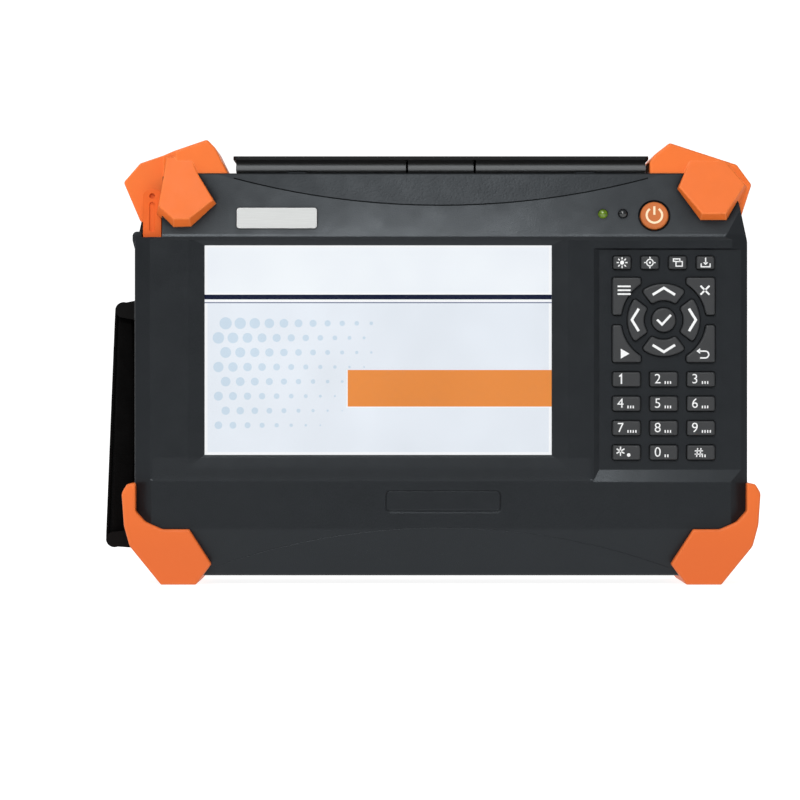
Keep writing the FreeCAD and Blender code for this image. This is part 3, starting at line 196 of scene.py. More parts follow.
# Screen
glass_air = 0.35 * mm
glass_edge = 0.15 * mm
picture_step = 0.02 * mm
picture_width = 152.4 * mm
picture_height = 92.0 * mm
picture_margin = 1.2 * mm
head_margin = 0.9 * mm
head_gap = 1.0 * mm
line_height = 126.05 * mm
line_thickness = 2.1 * mm
thin_line_height = 123.8 * mm
thin_line_thickness = 0.45 * mm
band_low = 77.9 * mm
band_high = 94.0 * mm
band_left = -40.5 * mm
band_rim = 0.5 * mm
dot_start = (6.0 * mm, 13.0 * mm)
dot_pitch = 6.4 * mm
dot_largest = 2.7 * mm
dot_smallest = 0.3 * mm
dot_columns = 11
dot_rows = 8
dot_shrink = 1.3
dot_drop = 0.55

# Legends, drawn in millimetres round the middle of their key or button
ink_lift = 0.03 * mm
face_depth = 0.01 * mm
stroke_width = 0.62
thin_stroke = 0.42
mark_stroke = 0.55
mitre_limit = 0.4
figure_height = 4.4
figure_left = -2.7
figure_share = 0.73
figure_thinning = 0.004
mark_left = 0.6
mark_middle = -1.45
mark_half = 0.6
mark_pitch = 1.15
ring_radius = 3.4
ring_stroke = 0.95
ring_span = (125, 415)
ring_bar = (0.2, 4.0)

# Keypad membrane. The profile is the radius of the dome and its share of the height there, and the dome stops a
# little short of its key.
membrane_thickness = 1.0 * mm
dome_profile = ((2.6 * mm, 0.0), (2.3 * mm, 0.45), (2.0 * mm, 0.85), (1.8 * mm, 0.98), (0.9 * mm, 0.98))
dome_sides = 24

# Strap. The pad's section is an ellipse whose corners are squared off by powers, across x and y.
bar_radius = 1.6 * mm
loop_radius = 3.1 * mm
web_thickness = 1.5 * mm
web_inset = 0.6 * mm
web_rings = 14
web_tail = 13.0 * mm
web_pitch = 1.1 * mm
pad_pitch = 0.7 * mm
pad_rings = 40
pad_round = 48
pad_inset = 0.3 * mm
pad_ends = 0.02
pad_taper = 0.08
pad_narrowing = 0.06
pad_corners = (0.4, 0.3)
stitch_pitch = 3.2 * mm
stitch_length = 2.2 * mm
stitch_radius = 0.28 * mm
stitch_flatness = 0.5
stitch_inset = 3.0 * mm

# Contacts in the jacks
contact_count = 8
contact_pitch = 1.02 * mm
contact_half = 0.2 * mm


# Material helpers

def new_material(name):
    """Empty node material with its tree and its main shader."""
    material = bpy.data.materials.new(name)
    material.use_nodes = True
    tree = material.node_tree
    return material, tree, tree.nodes["Principled BSDF"]


def feed(tree, node, sources):
    """Gives inputs of a node their sources: each is a socket to wire, a colour or a number."""
    for key, source in sources.items():
        socket = node.inputs[key]
        if isinstance(source, bpy.types.NodeSocket):
            tree.links.new(source, socket)
        elif socket.type == "RGBA":
            socket.default_value = (*source, 1.0)
        else:
            socket.default_value = source


def add_node(tree, kind, sources=None, **settings):
    """New node with its settings and the sources of its inputs."""
    made = tree.nodes.new(kind)
    for key, value in settings.items():
        setattr(made, key, value)
    feed(tree, made, sources or {})
    return made


def math_node(tree, operation, *values):
    """Output of one arithmetic step on sockets or numbers."""
    return add_node(tree, "ShaderNodeMath", dict(enumerate(values)), operation=operation).outputs[0]


def times(tree, a, b):
    """Product of two sockets or numbers."""
    return math_node(tree, "MULTIPLY", a, b)


def plus(tree, a, b):
    """Sum of two sockets or numbers."""
    return math_node(tree, "ADD", a, b)


def add_weighted(tree, total, parts):
    """Total to which each part is added, times its amount."""
    for part, amount in parts:
        total = plus(tree, total, times(tree, part, amount))
    return total


def place(tree):
    """Coordinates on the object at rest, in metres."""
    return add_node(tree, "ShaderNodeTexCoord").outputs["Object"]


def axes(tree):
    """X, Y and Z on the object at rest."""
    split = add_node(tree, "ShaderNodeSeparateXYZ", {"Vector": place(tree)})
    return [split.outputs[axis] for axis in "XYZ"]


def noise(tree, size, detail=2.0, stretch=None):
    """Cloudy pattern whose spots are about the given size across."""
    coordinates = place(tree)
    if stretch:
        mapping = add_node(tree, "ShaderNodeMapping", {"Vector": coordinates, "Scale": stretch})
        coordinates = mapping.outputs["Vector"]
    sources = {"Vector": coordinates, "Scale": 1.0 / size, "Detail": detail}
    return add_node(tree, "ShaderNodeTexNoise", sources).outputs["Fac"]


def cells(tree, size, feature="F1"):
    """Cell pattern whose cells are about the given size across."""
    sources = {"Vector": place(tree), "Scale": 1.0 / size}
    return add_node(tree, "ShaderNodeTexVoronoi", sources, feature=feature).outputs["Distance"]


def colour_ramp(tree, factor, *stops):
    """Colours spread over a factor; each stop is a place and a colour."""
    made = add_node(tree, "ShaderNodeValToRGB", {"Fac": factor})
    ramp = made.color_ramp
    for element, (position, colour) in zip(ramp.elements, stops):
        element.position = position
        element.color = (*colour, 1.0)
    return made.outputs["Color"]


def shade(colour, amount):
    """Colour made darker or lighter."""
    return tuple(min(1.0, channel * amount) for channel in colour)


def mottled(tree, pattern, colour, dark, light):
    """Colour that drifts between a darker and a lighter shade over a noise pattern."""
    low, high = noise_range
    return colour_ramp(tree, pattern, (low, shade(colour, dark)), (high, shade(colour, light)))


def mix_colour(tree, factor, a, b):
    """Colour a turned into colour b by a factor."""
    made = add_node(tree, "ShaderNodeMix", data_type="RGBA")
    in_use = [i for i, socket in enumerate(made.inputs) if socket.enabled]
    feed(tree, made, dict(zip(in_use, (factor, a, b))))
    return [socket for socket in made.outputs if socket.enabled][0]


def spread(tree, value, low, high, new_low, new_high):
    """Value stretched from one range to another and held inside it."""
    sources = {"Value": value, "From Min": low, "From Max": high, "To Min": new_low, "To Max": new_high}
    return add_node(tree, "ShaderNodeMapRange", sources).outputs["Result"]


def uneven(tree, pattern, low, high):
    """Number that drifts between two values over a noise pattern."""
    return spread(tree, pattern, *noise_range, low, high)


def soft_edges(tree, radius):
    """Normal that rounds sharp edges, and a mask that is 1 along them."""
    bevel = add_node(tree, "ShaderNodeBevel", {"Radius": radius}, samples=edge_samples)
    surface = add_node(tree, "ShaderNodeNewGeometry")
    normals = {0: bevel.outputs["Normal"], 1: surface.outputs["Normal"]}
    match = add_node(tree, "ShaderNodeVectorMath", normals, operation="DOT_PRODUCT")
    return bevel.outputs["Normal"], spread(tree, match.outputs["Value"], *edge_turn, 0.0, 1.0)


def within(tree, value, middle, half):
    """1 where a value lies within half of the middle, otherwise 0."""
    off = math_node(tree, "ABSOLUTE", math_node(tree, "SUBTRACT", value, middle))
    return math_node(tree, "LESS_THAN", off, half)


def painted_shade_mask(tree, reach):
    """Mask that is 1 where another part stands close over a face, and 0 on open faces; it places painted shade."""
    occlusion_shade = add_node(tree, "ShaderNodeAmbientOcclusion", {"Distance": reach}, samples=shelter_samples)
    return spread(tree, occlusion_shade.outputs["AO"], *shelter_range, 0.0, 1.0)


def relief(tree, height, depth, normal=None):
    """Normal of a surface raised by a height pattern."""
    made = add_node(tree, "ShaderNodeBump", {"Height": height, "Distance": depth, "Strength": 1.0})
    if normal is not None:
        feed(tree, made, {"Normal": normal})
    return made.outputs["Normal"]


def moulded(name, colour, roughness, grain, depth, edge=0.35 * mm, wear=1.5, specular=0.5):
    """Moulded plastic or rubber: mottled colour, fine grain and slightly polished edges."""
    material, tree, shader = new_material(name)
    normal, rim = soft_edges(tree, edge)
    mottle = mottled(tree, noise(tree, mottle_size, 4), colour, 0.9, 1.1)
    gloss = noise(tree, gloss_size, 3)
    feed(tree, shader, {
        "Base Color": mix_colour(tree, rim, mottle, shade(colour, wear)),
        "Roughness": uneven(tree, gloss, roughness - gloss_change, roughness + gloss_change),
        "Specular IOR Level": specular,
        "Normal": relief(tree, noise(tree, grain, 3), depth, normal),
    })
    return material


# Materials of the case

def case_plastic():
    """Spark-textured plastic, with leather grain on the band, duller zones and painted shade under the bumper
    blocks.
    """
    material, tree, shader = new_material("case_plastic")
    x, y, z = axes(tree)
    across = math_node(tree, "SUBTRACT", x, case_x)
    normal, rim = soft_edges(tree, front_radius(tree, across, z))
    on_band = math_node(tree, "GREATER_THAN", z, band_foot)
    occlusion_shade = times(tree, painted_shade_mask(tree, shelter_reach), on_band)
    leathered = leather_area(tree, across, y, z)

    mottle = mottled(tree, noise(tree, case_cloud, 4), dark_grey, 0.92, 1.08)
    worn = mix_colour(tree, rim, mottle, shade(dark_grey, 1.25))
    rough = uneven(tree, noise(tree, case_gloss, 3), *case_roughness)
    leather = spread(tree, cells(tree, leather_cell), 0.0, 0.6, 0.0, leather_height)
    height = plus(tree, times(tree, leather, leathered), noise(tree, spark_grain, 2))
    feed(tree, shader, {
        # Painted shade: the base colour darkens to 0.3 of the case grey where the bumper blocks stand close over
        # the band; the same mask dulls the gloss
        "Base Color": mix_colour(tree, occlusion_shade, worn, shade(dark_grey, 0.3)),
        "Roughness": add_weighted(tree, rough, (
            (band_dullness(tree, across, z, on_band), 1.0),
            (occlusion_shade, shelter_dullness),
            (leathered, leather_dullness),
            (zone(tree, across, z, soft_across, bevel_up), bevel_dullness),
            (sill_area(tree, across, z), sill_dullness),
        )),
        "Specular IOR Level": 0.33,
        "Specular Tint": dark_shine,
        "Normal": relief(tree, height, spark_depth, normal),
    })
    return material


def zone(tree, across, z, across_zone, up_zone):
    """1 in an upright rectangle of the front, otherwise 0."""
    return times(tree, within(tree, across, *across_zone), within(tree, z, *up_zone))


def front_radius(tree, across, z):
    """Radius of the edges: larger on the chin, and more so below the screen and under the recess."""
    on_chin = math_node(tree, "LESS_THAN", z, chin_top)
    radius = spread(tree, on_chin, 0.0, 1.0, *edge_radius)
    return add_weighted(tree, radius, (
        (zone(tree, across, z, soft_across, soft_up), soft_radius),
        (zone(tree, across, z, recess_across, recess_up), recess_radius),
    ))


def band_dullness(tree, across, z, on_band):
    """Roughness that grows towards the ends and the top of the leaning band."""
    ends = spread(tree, math_node(tree, "ABSOLUTE", across), *band_ends, 0.0, end_dullness)
    rise = spread(tree, z, band_foot, line_foot, 0.0, rise_dullness)
    return times(tree, plus(tree, ends, rise), on_band)


def sill_area(tree, across, z):
    """Mask of the bevel under the keypad, which grows from 0 to 1 towards the right."""
    bevel = zone(tree, across, z, sill_across, sill_up)
    return times(tree, bevel, spread(tree, across, *sill_fade, 0.0, 1.0))


def leather_area(tree, across, y, z):
    """Mask of the leather grain: the front of the band above its curved line."""
    lift = times(tree, times(tree, across, across), line_curve)
    above = math_node(tree, "GREATER_THAN", z, plus(tree, lift, line_foot))
    return times(tree, above, math_node(tree, "LESS_THAN", y, leather_back))


def rear_plastic():
    """Rear shell: dark spark-textured plastic, dull black on the strap lugs."""
    material, tree, shader = new_material("rear_plastic")
    normal, rim = soft_edges(tree, 0.3 * mm)
    lug = math_node(tree, "LESS_THAN", axes(tree)[0], lug_edge)
    mottle = mottled(tree, noise(tree, case_cloud, 4), rear_grey, 0.9, 1.1)
    body = mix_colour(tree, rim, mottle, shade(rear_grey, 1.6))
    rough = uneven(tree, noise(tree, case_gloss, 3), 0.36, 0.44)
    feed(tree, shader, {
        "Base Color": mix_colour(tree, lug, body, strap_black),
        "Roughness": plus(tree, rough, times(tree, lug, lug_dullness)),
        "Specular IOR Level": 0.12,
        "Normal": relief(tree, noise(tree, spark_grain, 2), spark_depth, normal),
    })
    return material


def cover_painted_skirt():
    """Dust cover: black soft lip along its top edge over a paler grey skirt, whose paleness is painted light for
    the strip under the lip.
    """
    material, tree, shader = new_material("cover_painted_skirt")
    normal, rim = soft_edges(tree, 0.35 * mm)
    skirt = math_node(tree, "LESS_THAN", axes(tree)[2], lip_height)
    mottle = mottled(tree, noise(tree, mottle_size, 4), cover_black, 0.9, 1.1)
    lip = mix_colour(tree, rim, mottle, shade(cover_black, 1.8))
    feed(tree, shader, {
        # Painted light: the skirt below the lip is far paler grey than the lip
        "Base Color": mix_colour(tree, skirt, lip, skirt_painted_light_grey),
        "Roughness": uneven(tree, noise(tree, gloss_size, 3), 0.44, 0.48),
        "Specular IOR Level": 0.2,
        "Normal": relief(tree, noise(tree, fine_grain, 3), 0.02 * mm, normal),
    })
    return material


def bumper_rubber():
    """Soft orange rubber with a painted highlight along its edges, painted shade towards the feet and a fine
    moulded skin.
    """
    material, tree, shader = new_material("bumper_rubber")
    normal, rim = soft_edges(tree, 1.0 * mm)
    mottle = mottled(tree, noise(tree, 14 * mm, 5), orange, 0.94, 1.0)
    # Painted shade: the bumpers darken to a redder orange towards their feet
    low = spread(tree, axes(tree)[2], *low_shade_reach, 1.0, 0.0)
    shaded_low = mix_colour(tree, low, mottle, orange_painted_low_shade)
    feed(tree, shader, {
        # Painted highlight: the edges turn towards a paler orange
        "Base Color": mix_colour(tree, times(tree, rim, edge_highlight_share), shaded_low, orange_edge_highlight),
        "Roughness": uneven(tree, noise(tree, 5 * mm, 3), 0.44, 0.56),
        "Specular IOR Level": 0.25,
        "Normal": relief(tree, noise(tree, fine_grain, 3), 0.03 * mm, normal),
    })
    return material


def cover_plastic():
    return moulded("cover_plastic", cover_black, roughness=0.42, grain=fine_grain, depth=0.02 * mm,
                   wear=1.8, specular=0.2)


def key_plastic():
    return moulded("key_plastic", key_grey, roughness=0.46, grain=0.3 * mm, depth=0.012 * mm,
                   edge=0.75 * mm, wear=1.7)


def power_plastic():
    return moulded("power_plastic", orange_button, roughness=0.5, grain=0.4 * mm, depth=0.01 * mm,
                   edge=0.4 * mm, wear=1.2, specular=0.2)


def stylus_plastic():
    # The pen's orange is darkened in part by painted shade
    return moulded("stylus_plastic", orange_pen_and_shade, roughness=0.45, grain=fine_grain, depth=0.02 * mm,
                   edge=0.4 * mm, wear=1.1, specular=0.2)


def silicone():
    return moulded("silicone", silicone_grey, roughness=0.6, grain=fine_grain, depth=0.02 * mm)


def socket_plastic():
    return moulded("socket_plastic", socket_black, roughness=0.38, grain=0.4 * mm, depth=0.012 * mm,
                   edge=0.2 * mm, wear=2.2)


def display_bezel():
    return moulded("display", bezel_black, roughness=0.35, grain=0.4 * mm, depth=0.01 * mm)


# Other materials

def battery_wrap():
    """Shrink film over round cells, with fine creases."""
    material, tree, shader = new_material("battery_wrap")
    feed(tree, shader, {
        "Base Color": mottled(tree, noise(tree, 9 * mm, 4), battery_blue, 0.8, 1.2),
        "Roughness": 0.28,
        "Normal": relief(tree, noise(tree, 3 * mm, 4, (1, 1, 6)), 0.15 * mm),
    })
    return material


def brushed_metal(name, colour, roughness, size, stretch):
    """Metal with fine parallel scratches."""
    material, tree, shader = new_material(name)
    normal, _ = soft_edges(tree, 0.2 * mm)
    streak = noise(tree, size, 3, stretch)
    feed(tree, shader, {
        "Base Color": mottled(tree, streak, colour, 0.86, 1.08),
        "Roughness": uneven(tree, streak, roughness - 0.05, roughness + 0.07),
        "Normal": relief(tree, streak, 0.006 * mm, normal),
        "Metallic": 1.0,
    })
    return material


def steel():
    return brushed_metal("steel", steel_grey, roughness=0.3, size=1.2 * mm, stretch=(8, 1, 8))


def gold_contact():
    return brushed_metal("gold_contact", contact_gold, roughness=0.25, size=0.6 * mm, stretch=(1, 1, 8))


def plate_metal():
    """Pale anodised plate with a satin, lightly brushed face."""
    material, tree, shader = new_material("plate_metal")
    normal, rim = soft_edges(tree, 0.8 * mm)
    streak = noise(tree, 3 * mm, 3, (0.3, 6, 6))
    brushed = mottled(tree, streak, plate_silver, 0.94, 1.03)
    feed(tree, shader, {
        "Base Color": mix_colour(tree, rim, brushed, plate_edge),
        "Normal": relief(tree, streak, 0.004 * mm, normal),
        "Metallic": 0.1,
        "Roughness": 0.42,
    })
    return material


def circuit_board():
    """Solder mask with copper tracks showing through it."""
    material, tree, shader = new_material("circuit_board")
    tracks = spread(tree, cells(tree, 3.5 * mm, "DISTANCE_TO_EDGE"), 0.03, 0.06, 1.0, 0.0)
    feed(tree, shader, {
        "Base Color": mix_colour(tree, tracks, board_green, shade(board_green, 2.2)),
        "Roughness": uneven(tree, noise(tree, 4 * mm), 0.25, 0.4),
        "Normal": relief(tree, tracks, 0.03 * mm),
    })
    return material


def strap_weave(name, colour, pitch):
    """Woven nylon: two crossed ribs, slightly uneven, with a soft sheen."""
    material, tree, shader = new_material(name)
    ribs = []
    for direction in ("Y", "Z"):
        sources = {"Vector": place(tree), "Scale": wave_band / pitch, "Distortion": 0.4}
        rib = add_node(tree, "ShaderNodeTexWave", sources, wave_type="BANDS", bands_direction=direction)
        ribs.append(rib.outputs["Fac"])
    weave = times(tree, *ribs)
    feed(tree, shader, {
        "Base Color": colour_ramp(tree, weave, (0.1, shade(colour, 0.55)), (0.9, shade(colour, 1.7))),
        "Roughness": uneven(tree, noise(tree, 5 * mm, 3), 0.75, 0.9),
        "Specular IOR Level": 0.05,
        "Sheen Weight": 0.008,
        "Sheen Roughness": 0.5,
        "Normal": relief(tree, weave, 0.25 * mm),
    })
    return material


def strap_fabric():
    return strap_weave("strap_fabric", strap_black, web_pitch)


def thread():
    return strap_weave("thread", thread_black, 0.25 * mm)


def clear_glass():
    """Thin hardened cover glass with faint smudges."""
    material, tree, shader = new_material("screen_glass")
    feed(tree, shader, {
        "Base Color": glass_tint,
        "Transmission Weight": 1.0,
        "IOR": 1.3,
        "Roughness": spread(tree, noise(tree, 18 * mm, 4), 0.45, 0.8, 0.0, 0.05),
    })
    return material


def lit(name, colour, size=40 * mm, change=0.05):
    """Backlit area of the display: its own light, slightly uneven."""
    material, tree, shader = new_material(name)
    light = colour_ramp(tree, noise(tree, size, 2),
                        (0.25, shade(colour, 1 - change)), (0.75, shade(colour, 1 + change)))
    feed(tree, shader, {
        "Base Color": no_light,
        "Roughness": 0.4,
        "Specular IOR Level": 0.1,
        "Emission Color": light,
        "Emission Strength": 1.0,
    })
    return material


def lamp(name, colour, glow=None):
    """Small moulded lens, brightest in its middle when it is on."""
    material, tree, shader = new_material(name)
    spots = noise(tree, 1.5 * mm, 3)
    feed(tree, shader, {
        "Base Color": mottled(tree, spots, colour, 0.7, 1.0),
        "Roughness": 0.18,
        "Coat Weight": 0.4,
    })
    if glow:
        light = colour_ramp(tree, spots, (0.35, shade(glow, 0.35)), (0.7, glow))
        feed(tree, shader, {"Emission Color": light, "Emission Strength": 1.0})
    return material


def lamp_green():
    return lamp("lamp_green", lens_green, lens_glow)


def lamp_dark():
    return lamp("lamp_dark", lens_dark)


def ink(name, colour):
    """Screen-printed legend with a slightly grainy edge."""
    material, tree, shader = new_material(name)
    grain = colour_ramp(tree, noise(tree, 0.4 * mm, 3), (0.25, shade(colour, 0.86)), (0.6, colour))
    feed(tree, shader, {"Base Color": grain, "Roughness": 0.55})
    return material


def stage_paper():
    """Paper that glows almost white by itself, slightly more towards the back."""
    material, tree, shader = new_material("stage_paper")
    feed(tree, shader, {
        "Base Color": mottled(tree, noise(tree, stage_cloud, 2), stage_grey, 0.99, 1.0),
        "Roughness": 0.9,
        "Emission Color": white_light,
        "Emission Strength": spread(tree, axes(tree)[1], *glow_reach, *stage_glow),
    })
    return material


# Mesh helpers

def add_object(name, data):
    """Object of a mesh, a curve, a light or a camera, in the scene."""
    obj = bpy.data.objects.new(name, data)
    bpy.context.scene.collection.objects.link(obj)
    return obj


def finished_mesh(name, bm, smooth):
    """Mesh made of a bmesh, which is freed."""
    made = bpy.data.meshes.new(name)
    bm.to_mesh(made)
    bm.free()
    if smooth:
        made.polygons.foreach_set("use_smooth", [True] * len(made.polygons))
    return made


def add_piece(name, bm, material, body, smooth=False):
    """Makes a piece of a bmesh and lets it ride on a body."""
    bmesh.ops.recalc_face_normals(bm, faces=bm.faces)
    obj = add_object(name, finished_mesh(name, bm, smooth))
    obj.data.materials.append(material)
    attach(obj, body)
    return obj


def add_polygon(bm, points, y=0.0):
    """Flat (x, z) polygon that faces the front."""
    bm.faces.new([bm.verts.new((x, y, z)) for x, z in points])


def disc_points(x, z, radius, count=20):
    """Points of a circle in (x, z)."""
    turn = 2 * math.pi / count
    return [(x + radius * math.cos(i * turn), z + radius * math.sin(i * turn)) for i in range(count)]


def arc_points(x, z, radius, start, end, count):
    """Points of an arc in (x, z) between two angles in degrees."""
    step = (end - start) / count
    angles = [math.radians(start + i * step) for i in range(count + 1)]
    return [(x + radius * math.cos(a), z + radius * math.sin(a)) for a in angles]


def add_stroke(bm, points, width, closed=False):
    """Line of even width with mitred corners in (x, z), as one strip of quads."""
    corners = [Vector(point) for point in points]
    count = len(corners)
    sides = []
    for i, corner in enumerate(corners):
        before = corners[i - 1] if closed or i else None
        after = corners[(i + 1) % count] if closed or i < count - 1 else None
        along_in = (corner - before).normalized() if before is not None else None
        along_out = (after - corner).normalized() if after is not None else along_in
        along_in = along_in or along_out
        across_in = Vector((-along_in.y, along_in.x))
        mitre = (across_in + Vector((-along_out.y, along_out.x))).normalized()
        reach = mitre * (width / 2 / max(mitre_limit, mitre.dot(across_in)))
        sides.append([bm.verts.new((p.x, 0.0, p.y)) for p in (corner + reach, corner - reach)])
    for i in range(count if closed else count - 1):
        a, b = sides[i], sides[(i + 1) % count]
        bm.faces.new((a[0], a[1], b[1], b[0]))


def skin_rows(bm, rows):
    """Closed skin over rings of equal length."""
    count = len(rows[0])
    for a, b in zip(rows, rows[1:]):
        for k in range(count):
            n = (k + 1) % count
            bm.faces.new((a[k], a[n], b[n], b[k]))
    bm.faces.new(rows[0])
    bm.faces.new(rows[-1])


def add_text(bm, text, height, x):
    """Adds upright figures in the built-in typeface, centred on a place across."""
    curve = bpy.data.curves.new("figures", "FONT")
    curve.body = text
    curve.size = height / figure_share
    curve.offset = -figure_thinning * height
    curve.align_x = "CENTER"
    curve.align_y = "CENTER"
    carrier = add_object("figures", curve)
    bpy.context.view_layer.update()
    flat = bpy.data.meshes.new_from_object(carrier.evaluated_get(bpy.context.evaluated_depsgraph_get()))
    flat.transform(Matrix.Translation((x, 0, 0)) @ Matrix.Rotation(math.radians(90), 4, "X"))
    bm.from_mesh(flat)
    bpy.data.meshes.remove(flat)
    bpy.data.objects.remove(carrier)
    bpy.data.curves.remove(curve)


# Camera, light and stage

def add_camera():
    """Level camera square to the front, far enough off for a flat perspective."""
    camera = bpy.data.cameras.new("camera")
    camera.sensor_width = sensor_width
    camera.lens = sensor_width * camera_distance / view_width
    obj = add_object("camera", camera)
    obj.location = (case_x - camera_left, front_y - camera_distance, camera_height)
    obj.rotation_euler = (math.radians(90), 0, 0)
    bpy.context.scene.camera = obj


def add_area_light(name, location, size, power):
    """Soft rectangular light that points at the middle of the object."""
    light = bpy.data.lights.new(name, "AREA")
    light.shape = "RECTANGLE"
    light.size, light.size_y = size
    light.energy = power
    obj = add_object(name, light)
    obj.location = location
    direction = Vector((case_x, 0, light_aim)) - Vector(location)
    obj.rotation_euler = direction.to_track_quat("-Z", "Y").to_euler()


def add_lights():
    """Soft light from above, a wide panel that the leaning band mirrors, and weak lights behind."""
    for name, (location, size, power) in lights.items():
        add_area_light(name, location, size, power)
    world = bpy.data.worlds.new("studio")
    bpy.context.scene.world = world
    world.use_nodes = True
    background = world.node_tree.nodes["Background"]
    feed(world.node_tree, background, {"Color": white_light, "Strength": sky_light})
    bpy.context.scene.view_settings.view_transform = "Standard"


def add_stage():
    """Pale floor that sweeps up behind the object."""
    bm = bmesh.new()
    back = floor_reach / 2
    profile = [(-floor_reach, 0.0)]
    for i in range(sweep_steps + 1):
        a = math.radians(90 * i / sweep_steps)
        profile.append((back + sweep_radius * math.sin(a), sweep_radius * (1 - math.cos(a))))
    profile.append((back + sweep_radius, floor_reach))
    rows = [[bm.verts.new((x, y, z)) for x in (-floor_reach, floor_reach)] for y, z in profile]
    for low, high in zip(rows, rows[1:]):
        bm.faces.new((low[0], low[1], high[1], high[0]))
    obj = add_object("stage", finished_mesh("stage", bm, smooth=True))
    obj.data.materials.append(stage_paper())


# Finish of the solids

def dress_solids():
    """Gives every solid the material of its slot in the record."""
    makers = {
        "case_plastic": case_plastic, "cover_plastic": cover_plastic, "bumper_rubber": bumper_rubber,
        "stylus_plastic": stylus_plastic, "key_plastic": key_plastic, "power_plastic": power_plastic,
        "screen_glass": clear_glass, "display": display_bezel, "circuit_board": circuit_board,
        "steel": steel, "plate_metal": plate_metal, "socket_plastic": socket_plastic,
        "lamp_green": lamp_green, "lamp_dark": lamp_dark, "strap_fabric": strap_fabric,
        "silicone": silicone, "battery_wrap": battery_wrap,
    }
    made = {}
    slots = {name: obj.data.materials[0].name.split(".")[0] for name, obj in nodes.items()}
    for name, obj in nodes.items():
        slot = slots[name]
        if slot not in made:
            made[slot] = makers[slot]()
        obj.data.materials.clear()
        obj.data.materials.append(made[slot])
    nodes["dust_cover"].data.materials[0] = cover_painted_skirt()
    nodes["rear_case"].data.materials[0] = rear_plastic()
    return made


# Display

def add_display(materials):
    """Cover glass and the picture behind it: pale field, dark lines and one bare orange band."""
    low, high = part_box("screen_glass")
    middle = (low + high) / 2
    add_glass(low, high, materials["screen_glass"])

    x0, x1 = middle.x - picture_width / 2, middle.x + picture_width / 2
    z0, z1 = middle.z - picture_height / 2, middle.z + picture_height / 2
    inner = (x0 + picture_margin, x1 - picture_margin)
    left = case_x + band_left
    line_low = line_height - line_thickness / 2
    line_top = line_low + line_thickness
    thin_low = thin_line_height - thin_line_thickness
    white = lit("picture_white", display_white)
    pale = lit("picture_pale", display_pale)
    head = lit("picture_head_pale", display_head)
    navy = lit("picture_navy", display_navy)
    bluish = lit("picture_blue", display_blue)
    band = lit("picture_band", display_orange, 60 * mm, 0.06)
    areas = (
        ("picture_field", (x0, x1), (z0, z1), 0, white),
        ("picture_body", inner, (z0 + picture_margin, thin_line_height), 1, pale),
        ("picture_head", inner, (line_top + head_gap, z1 - head_margin), 1, head),
        ("picture_line", (x0, x1), (line_low, line_top), 2, navy),
        ("picture_thin_line", (x0, x1), (thin_low, thin_line_height), 2, bluish),
        ("picture_band_rim", (left - band_rim, x1), (band_low - band_rim, band_high), 3, white),
        ("picture_band", (left, x1), (band_low, band_high), 4, band),
    )
    for name, (a, b), (bottom, top), level, material in areas:
        bm = bmesh.new()
        add_polygon(bm, [(a, bottom), (b, bottom), (b, top), (a, top)], picture_y(level))
        add_piece(name, bm, material, "case")
    add_dots(x0, z0)


def picture_y(level):
    """Depth of a layer of the picture in front of the display module."""
    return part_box("lcd_module")[0].y - level * picture_step - ink_lift


def add_glass(low, high, material):
    """Cover glass with softened edges, a little off the display."""
    size = high - low
    middle = (low + high) / 2
    bm = bmesh.new()
    bmesh.ops.create_cube(bm, size=1.0)
    bmesh.ops.scale(bm, vec=(size.x, size.y - glass_air, size.z), verts=bm.verts)
    bmesh.ops.translate(bm, vec=(middle.x, middle.y - glass_air / 2, middle.z), verts=bm.verts)
    bmesh.ops.bevel(bm, geom=bm.edges[:], offset=glass_edge, segments=2, profile=0.5, affect="EDGES")
    glass = add_piece("cover_glass", bm, material, "case")
    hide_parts("screen_glass")


def add_dots(x0, z0):
    """Faint pattern of dots that shrink towards the right and the bottom of the picture."""
    bm = bmesh.new()
    y = picture_y(2)
    for i in range(dot_columns):
        for j in range(dot_rows):
            fade = 1 - (i / dot_columns + dot_drop * (dot_rows - 1 - j) / dot_rows) / dot_shrink
            radius = dot_largest * max(0.0, fade)
            if radius < dot_smallest:
                continue
            x = x0 + dot_start[0] + i * dot_pitch + (j % 2) * dot_pitch / 2
            z = z0 + dot_start[1] + j * dot_pitch
            add_polygon(bm, disc_points(x, z, radius), y)
    add_piece("picture_dots", bm, lit("picture_motif", display_motif), "case")


# Legends

def add_rays(bm, count, inner, outer):
    """Short strokes that point away from the middle."""
    for i in range(count):
        a = 2 * math.pi * i / count
        add_stroke(bm, [(r * math.cos(a), r * math.sin(a)) for r in (inner, outer)], thin_stroke)


def sun_sign(bm):
    add_polygon(bm, disc_points(0, 0, 0.75))
    add_rays(bm, 8, 1.15, 2.0)


def target_sign(bm):
    add_stroke(bm, disc_points(0, 0, 1.2, 24), thin_stroke, closed=True)
    add_polygon(bm, disc_points(0, 0, 0.4))
    add_rays(bm, 4, 1.2, 2.1)


def windows_sign(bm):
    """Window in front of the corner of another."""
    add_stroke(bm, [(-0.65, -1.3), (1.65, -1.3), (1.65, 0.4), (-0.65, 0.4)], 0.4, closed=True)
    add_stroke(bm, [(-0.85, 0.5), (-1.6, 0.5), (-1.6, 1.35), (0.75, 1.35), (0.75, 0.35)], 0.4)


def store_sign(bm):
    """Arrow into a tray."""
    add_stroke(bm, [(-1.7, -0.3), (-1.7, -1.6), (1.7, -1.6), (1.7, -0.3)], thin_stroke)
    add_stroke(bm, [(0, 1.9), (0, -0.2)], 0.46)
    add_polygon(bm, [(-1.0, 0.1), (0, -0.95), (1.0, 0.1)])


def bars_sign(bm):
    for z in (-1.3, 0, 1.3):
        add_stroke(bm, [(-2.2, z), (2.2, z)], mark_stroke)


